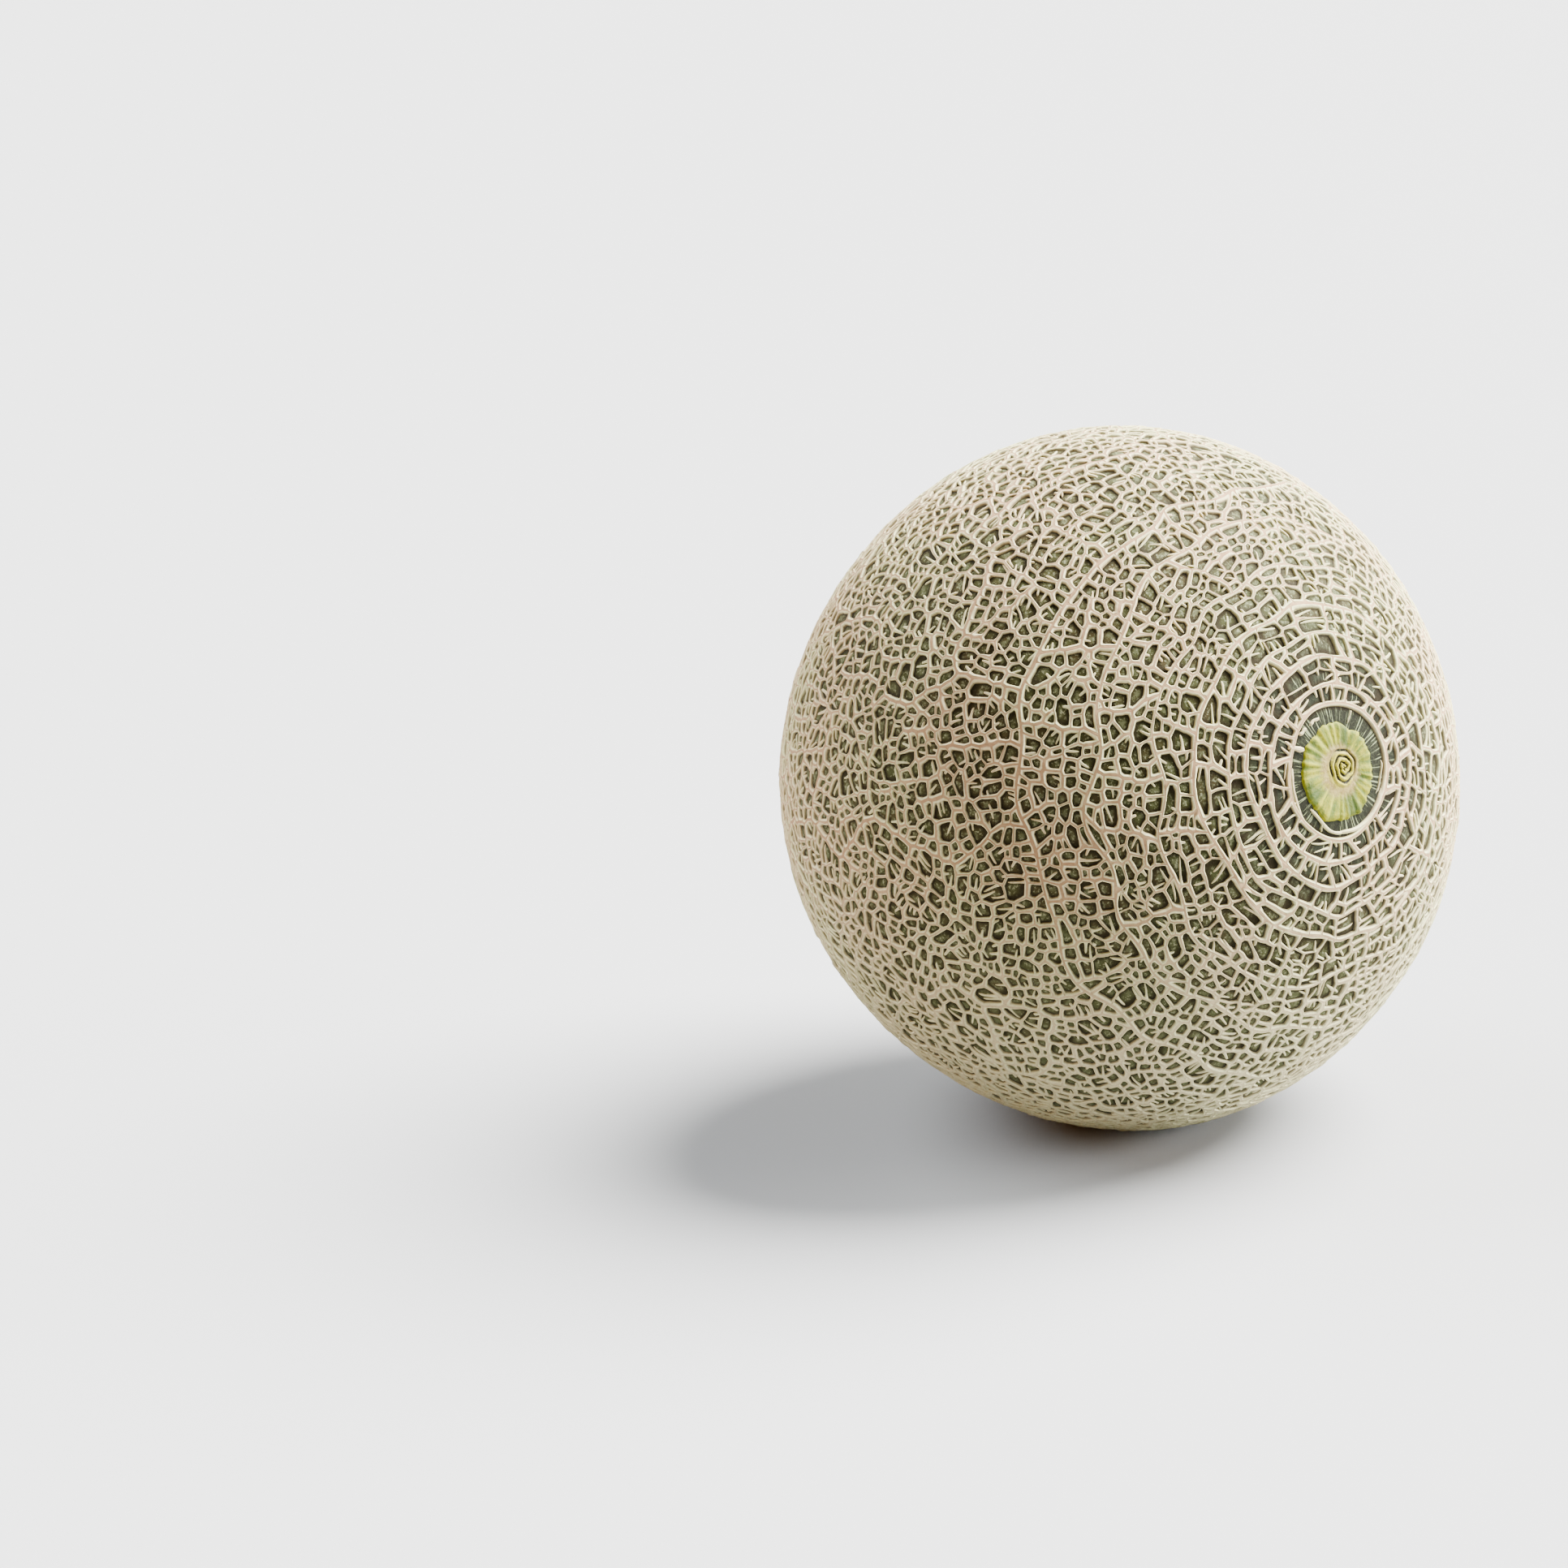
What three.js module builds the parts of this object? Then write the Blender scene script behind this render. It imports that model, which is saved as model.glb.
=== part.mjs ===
// A whole cantaloupe melon, lying on its side. It grew as one piece: the skin, the corky net raised on it,
// the scar where the stem let go and the small blossom scar are one closed body.
// Millimetres, +Z up. The origin is under the middle of the melon, at the level that it rests on.
// The stem end faces -Y, tilted a little upwards.

import * as THREE from 'three';

// Driving dimensions, in millimetres
const GIRTH = 150;               // across the widest ring, with the net
const LENGTH = 137;              // from the stem scar to the blossom scar
const WIDEST_SHIFT = 6;          // from the middle to the widest ring, towards the stem
const FLAT_DEPTH = 1.5;          // what the flat spot takes off the round underside
const LUMP = 0.22;               // the height of each of the slow waves that make the skin uneven
const LUMP_WAVES = 6;
const LUMP_SEED = 7;
const LUMP_PITCH = [2, 5];       // radians of such a wave for each radius of the melon, least and most
const END_DIP = 1.4;             // how far both ends are sunk
const OLD_CORD = { width: 3.6, height: 1.4 };
const YOUNG_CORD = { width: 3.0, height: 1.1 };
const STEM_SCAR = 20;            // across the disc that the stem left
const BLOSSOM_SCAR = 7;          // across the disc at the other end
const CORD_STEP = 0.9;           // between the points of a cord while the net grows
const FACET = 8.5;               // the longest straight stretch of a cord in the finished net
const FACET_AT_STEM = 4.2;       // the same close round the stem scar

// The disc that the stem left, from the foot of its notched rim inwards to a knobby core that lies off
// its middle: each row as a share of the radius, with its height and how much folds and knobs raise it
const STEM_SCAR_ROWS = [
  { share: 1.04, height: -0.1, notch: 1 },
  { share: 0.98, height: 0.6, notch: 1, fold: 1 },
  { share: 0.72, height: 0.5, fold: 1 },
  { share: 0.46, height: 0 },
  { share: 0.38, height: 0.2, knob: 0.3 },
  { share: 0.24, height: 0.8, knob: 1 },
];
const STEM_SCAR_PEAK = 0.4;
const CORE_OFFSET = { x: 1.6, y: 0.8 };
const NOTCH = 0.25;              // how deep the notches in the rim are, and how many stand round it
const NOTCHES = 7;
const FOLD = 0.12;               // the same for the folds of the disc
const FOLDS = 9;
const KNOB = 0.3;                // and for the knobs of its core
const KNOBS = 3;
const BLOSSOM_SCAR_ROWS = [
  { share: 1, height: 0.5 },
  { share: 0.55, height: 0.1 },
];
const BLOSSOM_SCAR_PEAK = 0.3;

// Angles, in degrees
const STEM_TILT = 12;            // of the stem end above the level
const END_DIP_SPAN = 15;         // how wide the sunk ends are
const STEM_RINGS = [10.8, 14.2, 18, 22.2, 27.5, 35, 44, 54.5];   // from the stem, the rings round its scar
const BLOSSOM_RINGS = [12, 8, 4.6];                              // from the other end
const RING_WOBBLE = [0.4, 0.6, 0.8, 1, 1.4, 1.9, 2.4, 3];        // how far each ring strays
const BLOSSOM_WOBBLE = [0.8, 0.5, 0.2];

// How many bars cross the bands between the rings, and run on to the other end
const STEM_BARS = [9, 11, 11, 12, 12, 11, 10];
const LONG_BARS = 6;
const BLOSSOM_BARS = [9, 8];

// The net
const SEED = 41;
const CELLS = 620;
const AGE_SPAN = 140;            // cords that split off before a new one is about a third as strong
const COMMON_CELL = 9.1;         // square millimetres, what a cell splits towards
const STEM_CELL = 1.9;           // how much larger than that the cells at the stem scar are
const STEM_GRAIN = 0.6;          // how much longer they are along the rings
const BEND = 0.09;               // how far a cord strays sideways, as a share of its length
const BEND_WAVE = 0.16;          // radians of a cord for each wave that it has more than the first four
const RING_WAVE = 0.24;          // radians of a ring for each of its waves
const TURN = 0.6;                // radians that a cord may turn from the short way across a cell
const TURN_HELD = 0.6;           // how much of that turn is taken away round the stem
const WIDEST_TURN = 1.1;         // radians to each side in which it looks for a place to end
const OFF_MIDDLE = 0.25;         // how far from the middle of a cell it may run
const TRIES = 6;
const STRAYING = 2;              // the cost of straying from the chosen way
const SLANT = 1.4;               // the cost of meeting the outline at a slant
const CROWD = [1, 1.9, 1.35, 1.12];   // the cost of a junction one, two and three steps from another
const UNEVEN = 0.6;              // how much the sizes of the cells differ
const LEAST_SHARE = 0.14;        // of a cell, in the smaller half
const BAR_SPREAD = 0.3;          // how unevenly the bars between two rings stand, in their own pitch
const BAR_LEAN = 0.25;           // how far they lean
const RELAX_ROUNDS = 14;
const RELAX_PULL = 0.4;

// The slopes down from the cords, which are narrowed step by step where a cell is tight
const LEAST_BEND = 0.08;         // squared sine of the angle below which a corner counts as straight
const LONGEST_MITRE = 1.9;       // how far a corner of the foot may lie from the crest, in half widths
const LEAST_FLOOR = 0.25;        // of a cell, left between the feet of its cords
const NARROWING = 0.86;
const NARROWINGS = 24;

const DEG = Math.PI / 180;
const TURN_ROUND = 2 * Math.PI;
const UP = new THREE.Vector3(0, 0, 1);
const SKIN_RADIUS = GIRTH / 2 - OLD_CORD.height;
const HALF_LENGTH = LENGTH / 2;

// Seeded draws, the same on every run
class Draw {
  constructor(seed) {
    this.state = seed;
  }

  unit() {
    this.state = (this.state * 16807) % 2147483647;
    return this.state / 2147483647;
  }

  spread(most) {
    return (2 * this.unit() - 1) * most;
  }
}

function polar(theta, phi) {
  return new THREE.Vector3(Math.sin(theta) * Math.cos(phi), Math.sin(theta) * Math.sin(phi), Math.cos(theta));
}

function smooth(value, low, high) {
  return THREE.MathUtils.smoothstep(value, low, high);
}

function wrap(value, round) {
  return ((value % round) + round) % round;
}

// Round the stem the cells are larger, drawn out along the rings and in line with them
function cellTarget(theta) {
  const common = COMMON_CELL / (GIRTH / 2) ** 2;
  return common * (STEM_CELL + (1 - STEM_CELL) * smooth(theta, 12 * DEG, 40 * DEG));
}

function grain(theta) {
  return 1 + STEM_GRAIN * (1 - smooth(theta, 10 * DEG, 60 * DEG));
}

function inLine(theta) {
  return 1 - smooth(theta, 20 * DEG, 70 * DEG);
}

// The net on a unit sphere, with the stem at +Z. It forms as the skin of the fruit cracks: each cell
// is split by a cord from side to side, the largest first, and the older cords grow the strongest.
class Net {
  constructor(seed, step) {
    this.draw = new Draw(seed);
    this.step = step;
    this.points = [];
    this.owner = [];        // the cord that each point was made for
    this.junction = [];
    this.cords = [];
    this.cells = [];
  }

  add(point) {
    this.points.push(point);
    this.owner.push(this.cords.length);
    this.junction.push(false);
    return this.points.length - 1;
  }

  // Points between two others, straying to both sides of the straight way
  wander(from, to) {
    const a = this.points[from];
    const b = this.points[to];
    const whole = a.angleTo(b);
    const count = Math.max(1, Math.round(whole / this.step) - 1);
    const waves = [];
    for (let k = 1; k <= 4 + Math.round(whole / BEND_WAVE); k += 1) {
      waves.push(this.draw.spread(BEND / k));
    }
    const side = a.clone().cross(b).normalize();
    const made = [];
    for (let i = 1; i <= count; i += 1) {
      const t = i / (count + 1);
      const along = a.clone().multiplyScalar(Math.sin((1 - t) * whole));
      along.addScaledVector(b, Math.sin(t * whole)).normalize();
      const stray = waves.reduce((sum, wave, k) => sum + wave * Math.sin((k + 1) * Math.PI * t), 0);
      made.push(this.add(along.addScaledVector(side, whole * stray).normalize()));
    }
    return made;
  }

  bridge(from, to) {
    this.junction[from] = true;
    this.junction[to] = true;
    const inner = this.wander(from, to);
    this.cords.push([from, ...inner, to]);
    return inner;
  }

  ring(theta, wobble) {
    const count = Math.round(TURN_ROUND * Math.sin(theta) / this.step);
    const waves = [];
    for (let k = 1; k <= Math.round(TURN_ROUND * Math.sin(theta) / RING_WAVE); k += 1) {
      const reach = this.draw.spread(wobble / k ** 0.7);
      waves.push({ k, reach, start: this.draw.unit() * TURN_ROUND });
    }
    const ids = [];
    for (let i = 0; i < count; i += 1) {
      const phi = TURN_ROUND * i / count;
      const stray = waves.reduce((sum, wave) => sum + wave.reach * Math.cos(wave.k * phi + wave.start), 0);
      ids.push(this.add(polar(theta + stray, phi)));
    }
    this.cords.push([...ids, ids[0]]);
    return ids;
  }

  freeNear(ids, phi) {
    const count = ids.length;
    let i = Math.round(phi / TURN_ROUND * count) % count;
    const busy = (k) => this.junction[ids[wrap(k, count)]];
    while (busy(i) || busy(i + 1) || busy(i - 1)) {
      i = (i + 1) % count;
    }
    return i;
  }

  // Cuts the band between two rings into cells
  band(upper, lower, bars) {
    const start = this.draw.unit();
    const pitch = TURN_ROUND / bars;
    const made = [];
    for (let k = 0; k < bars; k += 1) {
      const phi = wrap((k + start + this.draw.spread(BAR_SPREAD)) * pitch, TURN_ROUND);
      const i = this.freeNear(upper, phi);
      const j = this.freeNear(lower, wrap(phi + this.draw.spread(BAR_LEAN) * pitch, TURN_ROUND));
      made.push({ i, j, inner: this.bridge(upper[i], lower[j]) });
    }
    made.sort((one, two) => one.i - two.i);
    made.forEach((bar, k) => {
      const next = made[(k + 1) % bars];
      const top = arc(upper, bar.i, next.i);
      const bottom = arc(lower, bar.j, next.j);
      this.keep([...bottom, ...next.inner.toReversed(), ...top.toReversed(), ...bar.inner]);
    });
  }

  // A cell laid flat round its middle
  flatten(loop) {
    const points = loop.map((id) => this.points[id]);
    const middle = new THREE.Vector3();
    points.forEach((a, k) => {
      const b = points[(k + 1) % points.length];
      middle.addScaledVector(a.clone().add(b), a.angleTo(b));
    });
    return new Patch(middle.normalize(), points);
  }

  keep(loop) {
    const patch = this.flatten(loop);
    const size = Math.abs(areaOf(patch.flat)) / cellTarget(patch.theta);
    this.cells.push({ loop, weight: size * Math.exp(this.draw.spread(UNEVEN)) });
  }

  // The point of a cell's outline that a cord would reach, going a given way from a given place:
  // near, straight on, away from other junctions, and meeting the outline squarely
  target(flat, free, from, face) {
    let found = -1;
    let least = Infinity;
    flat.forEach((point, k) => {
      const way = point.clone().sub(from);
      const away = Math.abs(wrap(way.angle() - face + Math.PI, TURN_ROUND) - Math.PI);
      if (free[k] === 0 || away > WIDEST_TURN) {
        return;
      }
      const side = flat[(k + 1) % flat.length].clone().sub(flat[wrap(k - 1, flat.length)]).normalize();
      const slant = way.dot(side) / way.length();
      const crowded = CROWD[free[k]] ?? 1;
      const cost = way.length() * (1 + STRAYING * away ** 2) * (1 + SLANT * slant ** 2) * crowded;
      if (cost < least) {
        found = k;
        least = cost;
      }
    });
    return found;
  }

  // The two points of a cell's outline to join: the try that leaves the roundest, most even cells
  bestCut(loop) {
    const patch = this.flatten(loop);
    const stretch = grain(patch.theta);
    const pull = inLine(patch.theta);
    const flat = patch.flat.map((point) => new THREE.Vector2(point.x, point.y * stretch));
    const { way, size } = longestWay(flat);
    const quarter = Math.round(way / (Math.PI / 2)) * (Math.PI / 2);
    const along = way + (quarter - way) * pull;
    const whole = areaOf(flat);
    const free = stepsToNext(loop.map((id) => this.junction[id]));
    let best = null;
    for (let attempt = 0; attempt < TRIES; attempt += 1) {
      const face = along + Math.PI / 2 + this.draw.spread(TURN * (1 - TURN_HELD * pull));
      const off = this.draw.spread(OFF_MIDDLE) * size;
      const from = new THREE.Vector2(off * Math.cos(along), off * Math.sin(along));
      const ends = [face, face + Math.PI].map((turned) => this.target(flat, free, from, turned));
      if (ends.includes(-1) || ends[0] === ends[1]) {
        continue;
      }
      const [i, j] = ends.sort((one, two) => one - two);
      const parts = [flat.slice(i, j + 1), [...flat.slice(j), ...flat.slice(0, i + 1)]];
      const share = Math.min(...parts.map(areaOf)) / whole;
      const score = Math.sqrt(share) * Math.min(...parts.map(roundness));
      if (share >= LEAST_SHARE && score > (best?.score ?? -Infinity)) {
        best = { score, i, j };
      }
    }
    return best;
  }

  // Splits the largest cell again and again, until there are enough
  grow(most) {
    const done = [];
    while (this.cells.length > 0 && this.cells.length + done.length < most) {
      const weights = this.cells.map((cell) => cell.weight);
      const largest = weights.indexOf(Math.max(...weights));
      const [{ loop, weight }] = this.cells.splice(largest, 1);
      const cut = weight > 1 ? this.bestCut(loop) : null;
      if (!cut) {
        done.push(loop);
        continue;
      }
      const { i, j } = cut;
      const inner = this.bridge(loop[i], loop[j]);
      this.keep([...loop.slice(i, j + 1), ...inner.toReversed()]);
      this.keep([...loop.slice(j), ...loop.slice(0, i + 1), ...inner]);
    }
    return [...done, ...this.cells.map((cell) => cell.loop)];
  }

  // Pulls each point towards its neighbours along the cords: young cords meet at even angles, and old
  // ones, which pull harder, stay smooth. The rings round the two scars are left alone.
  relax(rings) {
    for (let round = 0; round < RELAX_ROUNDS; round += 1) {
      const sums = this.points.map(() => new THREE.Vector3());
      const pulls = this.points.map(() => 0);
      this.cords.forEach((cord, age) => cord.slice(1).forEach((b, k) => {
        const a = cord[k];
        const pull = cordSize(age).width;
        sums[a].addScaledVector(this.points[b], pull);
        sums[b].addScaledVector(this.points[a], pull);
        pulls[a] += pull;
        pulls[b] += pull;
      }));
      this.points.forEach((point, id) => {
        if (this.owner[id] >= rings) {
          point.lerp(sums[id].divideScalar(pulls[id]), RELAX_PULL).normalize();
        }
      });
    }
  }
}

// The ids from one place of a ring to another, both included
function arc(ring, from, to) {
  const count = ring.length;
  const last = to + (to <= from ? count : 0);
  return Array.from({ length: last - from + 1 }, (_, k) => ring[(from + k) % count]);
}

function areaOf(flat) {
  return THREE.ShapeUtils.area(flat);
}

// 1 for a circle, and less for any other outline
function roundness(flat) {
  const length = flat.reduce((sum, a, k) => sum + a.distanceTo(flat[(k + 1) % flat.length]), 0);
  return 4 * Math.PI * areaOf(flat) / length ** 2;
}

// Steps along a closed outline from each point to the nearest busy one
function stepsToNext(busy) {
  const count = busy.length;
  const steps = busy.map((taken) => (taken ? 0 : count));
  for (let k = 0; k < 2 * count; k += 1) {
    steps[k % count] = Math.min(steps[k % count], steps[wrap(k - 1, count)] + 1);
  }
  for (let k = 2 * count; k > 0; k -= 1) {
    steps[(k - 1) % count] = Math.min(steps[(k - 1) % count], steps[k % count] + 1);
  }
  return steps;
}

// The direction in which an outline is longest, and its size that way
function longestWay(flat) {
  let xx = 0;
  let xy = 0;
  let yy = 0;
  let whole = 0;
  flat.forEach((a, k) => {
    const b = flat[(k + 1) % flat.length];
    const length = a.distanceTo(b);
    const x = (a.x + b.x) / 2;
    const y = (a.y + b.y) / 2;
    xx += length * x * x;
    xy += length * x * y;
    yy += length * y * y;
    whole += length;
  });
  return { way: 0.5 * Math.atan2(2 * xy, xx - yy), size: Math.sqrt(Math.max(xx, yy) / whole) };
}

// A small part of the sphere laid flat: x runs east along the rings and y runs towards the stem
class Patch {
  constructor(middle, points) {
    this.middle = middle;
    this.theta = Math.acos(THREE.MathUtils.clamp(middle.z, -1, 1));
    this.east = UP.clone().cross(middle).normalize();
    this.north = middle.clone().cross(this.east);
    this.flat = points.map((point) => this.lay(point));
  }

  lay(point) {
    const flat = new THREE.Vector2(point.dot(this.east), point.dot(this.north));
    return flat.length() > 0 ? flat.setLength(point.angleTo(this.middle)) : flat;
  }

  raise(flat) {
    const angle = flat.length();
    const out = this.middle.clone().multiplyScalar(Math.cos(angle));
    const share = angle > 0 ? Math.sin(angle) / angle : 1;
    return out.addScaledVector(this.east, flat.x * share).addScaledVector(this.north, flat.y * share);
  }
}

function growNet() {
  const net = new Net(SEED, CORD_STEP / (GIRTH / 2));
  const rings = STEM_RINGS.map((theta, k) => net.ring(theta * DEG, RING_WOBBLE[k] * DEG));
  const foot = BLOSSOM_RINGS.map((theta, k) => net.ring((180 - theta) * DEG, BLOSSOM_WOBBLE[k] * DEG));
  STEM_BARS.forEach((bars, k) => net.band(rings[k], rings[k + 1], bars));
  net.band(rings.at(-1), foot[0], LONG_BARS);
  BLOSSOM_BARS.forEach((bars, k) => net.band(foot[k], foot[k + 1], bars));
  const loops = net.grow(CELLS);
  net.relax(STEM_RINGS.length + BLOSSOM_RINGS.length);
  return { net, loops, stemRing: rings[0], blossomRing: foot.at(-1) };
}

// The body: a spheroid that is widest a little nearer to the stem, uneven, and slightly sunk at both ends
function makeLumps() {
  const draw = new Draw(LUMP_SEED);
  return Array.from({ length: LUMP_WAVES }, () => ({
    way: new THREE.Vector3(draw.spread(1), draw.spread(1), draw.spread(1)).normalize(),
    pitch: THREE.MathUtils.lerp(...LUMP_PITCH, draw.unit()),
    start: draw.unit() * TURN_ROUND,
  }));
}

const LUMPS = makeLumps();

function onMelon(direction, height) {
  const { x, y, z } = direction;
  const waves = LUMPS.map(({ way, pitch, start }) => Math.sin(direction.dot(way) * pitch + start));
  const swell = 1 + LUMP * waves.reduce((sum, wave) => sum + wave) / SKIN_RADIUS;
  const fromEnd = Math.acos(Math.min(1, Math.abs(z)));
  const dip = Math.sign(z) * END_DIP * Math.exp(-((fromEnd / (END_DIP_SPAN * DEG)) ** 2));
  const along = HALF_LENGTH * z + WIDEST_SHIFT * (x * x + y * y) - dip;
  const place = new THREE.Vector3(SKIN_RADIUS * x, SKIN_RADIUS * y, along).multiplyScalar(swell);
  const out = new THREE.Vector3(x / SKIN_RADIUS, y / SKIN_RADIUS, z / HALF_LENGTH).normalize();
  return place.addScaledVector(out, height);
}

function layDown(place) {
  return place.applyAxisAngle(new THREE.Vector3(1, 0, 0), (90 - STEM_TILT) * DEG);
}

// The lowest point of the bare skin once the melon lies on its side
function lowestSkin() {
  let lowest = Infinity;
  for (let theta = 1; theta < 180; theta += 1) {
    for (let phi = 0; phi < 360; phi += 2) {
      lowest = Math.min(lowest, layDown(onMelon(polar(theta * DEG, phi * DEG), 0)).z);
    }
  }
  return lowest;
}

// Collects the corners and faces of the closed body
class Shell {
  constructor() {
    this.corners = [];
    this.faces = [];
  }

  corner(direction, height) {
    this.corners.push(onMelon(direction, height));
    return this.corners.length - 1;
  }

  face(a, b, c) {
    this.faces.push(a, b, c);
  }

  // A strip between two rows of corners, with the second row on the left
  strip(row, next) {
    row.forEach((a, k) => {
      const after = (k + 1) % row.length;
      this.face(a, row[after], next[after]);
      this.face(a, next[after], next[k]);
    });
  }

  fan(row, peak) {
    row.forEach((a, k) => this.face(a, row[(k + 1) % row.length], peak));
  }
}

function cordSize(age) {
  const young = 1 - Math.exp(-age / AGE_SPAN);
  return {
    width: THREE.MathUtils.lerp(OLD_CORD.width, YOUNG_CORD.width, young),
    height: THREE.MathUtils.lerp(OLD_CORD.height, YOUNG_CORD.height, young),
  };
}

function edgeKey(a, b) {
  return a < b ? `${a} ${b}` : `${b} ${a}`;
}

// Leaves out most of the points along each cord between its junctions. What is left is written to
// kept, and the age of each straight stretch to ages.
function thin(net) {
  const kept = new Set();
  const ages = new Map();
  net.cords.forEach((cord, age) => {
    const facet = age === 0 ? FACET_AT_STEM : FACET;
    const closed = cord[0] === cord.at(-1);
    const first = closed ? cord.findIndex((id) => net.junction[id]) : 0;
    const walk = closed ? [...cord.slice(first), ...cord.slice(1, first + 1)] : cord;
    const stops = walk.map((id, k) => k).filter((k) => net.junction[walk[k]]);
    const chosen = [stops[0]];
    stops.slice(1).forEach((stop, k) => {
      const from = stops[k];
      const pieces = Math.max(1, Math.round((stop - from) * CORD_STEP / facet));
      for (let piece = 1; piece <= pieces; piece += 1) {
        chosen.push(Math.round(from + (stop - from) * piece / pieces));
      }
    });
    chosen.forEach((k) => kept.add(walk[k]));
    chosen.slice(1).forEach((k, i) => ages.set(edgeKey(walk[chosen[i]], walk[k]), age));
  });
  return { kept, ages };
}

// The foot of the cords inside a cell: its outline moved inwards by half a cord's width on each side
function movedIn(flat, halves) {
  const count = flat.length;
  const normals = flat.map((a, k) => {
    const way = flat[(k + 1) % count].clone().sub(a).normalize();
    return new THREE.Vector2(-way.y, way.x);
  });
  return flat.map((corner, k) => {
    const before = wrap(k - 1, count);
    const [n1, n2] = [normals[before], normals[k]];
    const [d1, d2] = [halves[before], halves[k]];
    const lean = n1.dot(n2);
    const spare = 1 - lean * lean;
    const moved = new THREE.Vector2();
    if (spare > LEAST_BEND) {
      moved.addScaledVector(n1, (d1 - d2 * lean) / spare).addScaledVector(n2, (d2 - d1 * lean) / spare);
    } else {
      moved.addScaledVector(n1, d1).addScaledVector(n2, d2).setLength((d1 + d2) / 2);
    }
    return moved.clampLength(0, LONGEST_MITRE * Math.max(d1, d2)).add(corner);
  });
}

function sideOf(a, b, c) {
  return (b.x - a.x) * (c.y - a.y) - (b.y - a.y) * (c.x - a.x);
}

function crosses(a, b, c, d) {
  return sideOf(a, b, c) * sideOf(a, b, d) < 0 && sideOf(c, d, a) * sideOf(c, d, b) < 0;
}

// Whether the slopes and the floor of a cell lie beside each other with nothing folded over
function liesOpen(outer, inner) {
  const count = outer.length;
  const small = 1e-7;
  for (let k = 0; k < count; k += 1) {
    const next = (k + 1) % count;
    const sides = [sideOf(outer[k], outer[next], inner[next]), sideOf(outer[k], inner[next], inner[k])];
    if (Math.min(...sides) < small) {
      return false;
    }
    for (let other = k + 2; other < count; other += 1) {
      if (crosses(inner[k], inner[next], inner[other], inner[(other + 1) % count])) {
        return false;
      }
    }
  }
  return areaOf(inner) > LEAST_FLOOR * areaOf(outer);
}

// One cell: slopes down from the crests of its cords to the skin, and the skin between them
function addCell(shell, net, crests, ages, loop) {
  const patch = net.flatten(loop);
  const halves = loop.map((id, k) => {
    const age = ages.get(edgeKey(id, loop[(k + 1) % loop.length]));
    return cordSize(age).width / 2 / (GIRTH / 2);
  });
  let inner = movedIn(patch.flat, halves);
  for (let tries = 0; !liesOpen(patch.flat, inner) && tries < NARROWINGS; tries += 1) {
    halves.forEach((half, k) => {
      halves[k] = half * NARROWING;
    });
    inner = movedIn(patch.flat, halves);
  }
  const row = loop.map((id) => crests.get(id));
  const foot = inner.map((point) => shell.corner(patch.raise(point), 0));
  shell.strip(row, foot);
  THREE.ShapeUtils.triangulateShape(inner, []).forEach(([a, b, c]) => shell.face(foot[a], foot[b], foot[c]));
}

// A direction near one of the poles, from its place in the plane across the melon's length
function nearPole(x, y, towards) {
  const theta = Math.asin(Math.hypot(x, y) / (GIRTH / 2));
  return polar(towards > 0 ? theta : Math.PI - theta, Math.atan2(y, x));
}

// Rows of corners from the innermost ring of the net to the middle of a scar
function addScar(shell, net, crests, ring, towards, radius, rows, peakHeight) {
  const angles = ring.map((id) => Math.atan2(net.points[id].y, net.points[id].x));
  const foot = ring.map((id, k) => {
    const { x, y } = net.points[id];
    const reach = Math.hypot(x, y) * GIRTH / 2 - OLD_CORD.width / 2;
    return shell.corner(nearPole(reach * Math.cos(angles[k]), reach * Math.sin(angles[k]), towards), 0);
  });
  shell.strip(ring.map((id) => crests.get(id)), foot);
  const middle = towards > 0 ? CORE_OFFSET : { x: 0, y: 0 };
  let row = foot;
  rows.forEach(({ share, height, notch = 0, fold = 0, knob = 0 }) => {
    const next = angles.map((phi) => {
      const bulge = knob * KNOB * Math.sin(KNOBS * phi);
      const raised = height + fold * FOLD * Math.sin(FOLDS * phi) + bulge;
      const reach = share * radius + notch * NOTCH * Math.sin(NOTCHES * phi) + bulge / 2;
      const x = reach * Math.cos(phi) + (1 - share) * middle.x;
      const y = reach * Math.sin(phi) + (1 - share) * middle.y;
      return shell.corner(nearPole(x, y, towards), raised);
    });
    shell.strip(row, next);
    row = next;
  });
  shell.fan(row, shell.corner(nearPole(middle.x, middle.y, towards), peakHeight));
}

// Lays the body down, presses its underside flat and centres it over the origin
function settle(corners) {
  const lift = FLAT_DEPTH + lowestSkin();
  corners.forEach((corner) => {
    layDown(corner);
    corner.z = Math.max(0, corner.z - lift);
  });
  const middle = new THREE.Box3().setFromPoints(corners).getCenter(new THREE.Vector3());
  corners.forEach((corner) => {
    corner.x -= middle.x;
    corner.y -= middle.y;
  });
}

function melonGeometry() {
  const { net, loops, stemRing, blossomRing } = growNet();
  const { kept, ages } = thin(net);
  const shell = new Shell();
  const crests = new Map();
  kept.forEach((id) => crests.set(id, shell.corner(net.points[id], cordSize(net.owner[id]).height)));
  loops.forEach((loop) => addCell(shell, net, crests, ages, loop.filter((id) => kept.has(id))));
  const stemLoop = stemRing.filter((id) => kept.has(id));
  const blossomLoop = blossomRing.filter((id) => kept.has(id)).toReversed();
  addScar(shell, net, crests, stemLoop, 1, STEM_SCAR / 2, STEM_SCAR_ROWS, STEM_SCAR_PEAK);
  addScar(shell, net, crests, blossomLoop, -1, BLOSSOM_SCAR / 2, BLOSSOM_SCAR_ROWS, BLOSSOM_SCAR_PEAK);
  settle(shell.corners);
  const geometry = new THREE.BufferGeometry().setFromPoints(shell.corners);
  geometry.setIndex(shell.faces);
  geometry.computeVertexNormals();
  return geometry;
}

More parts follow.
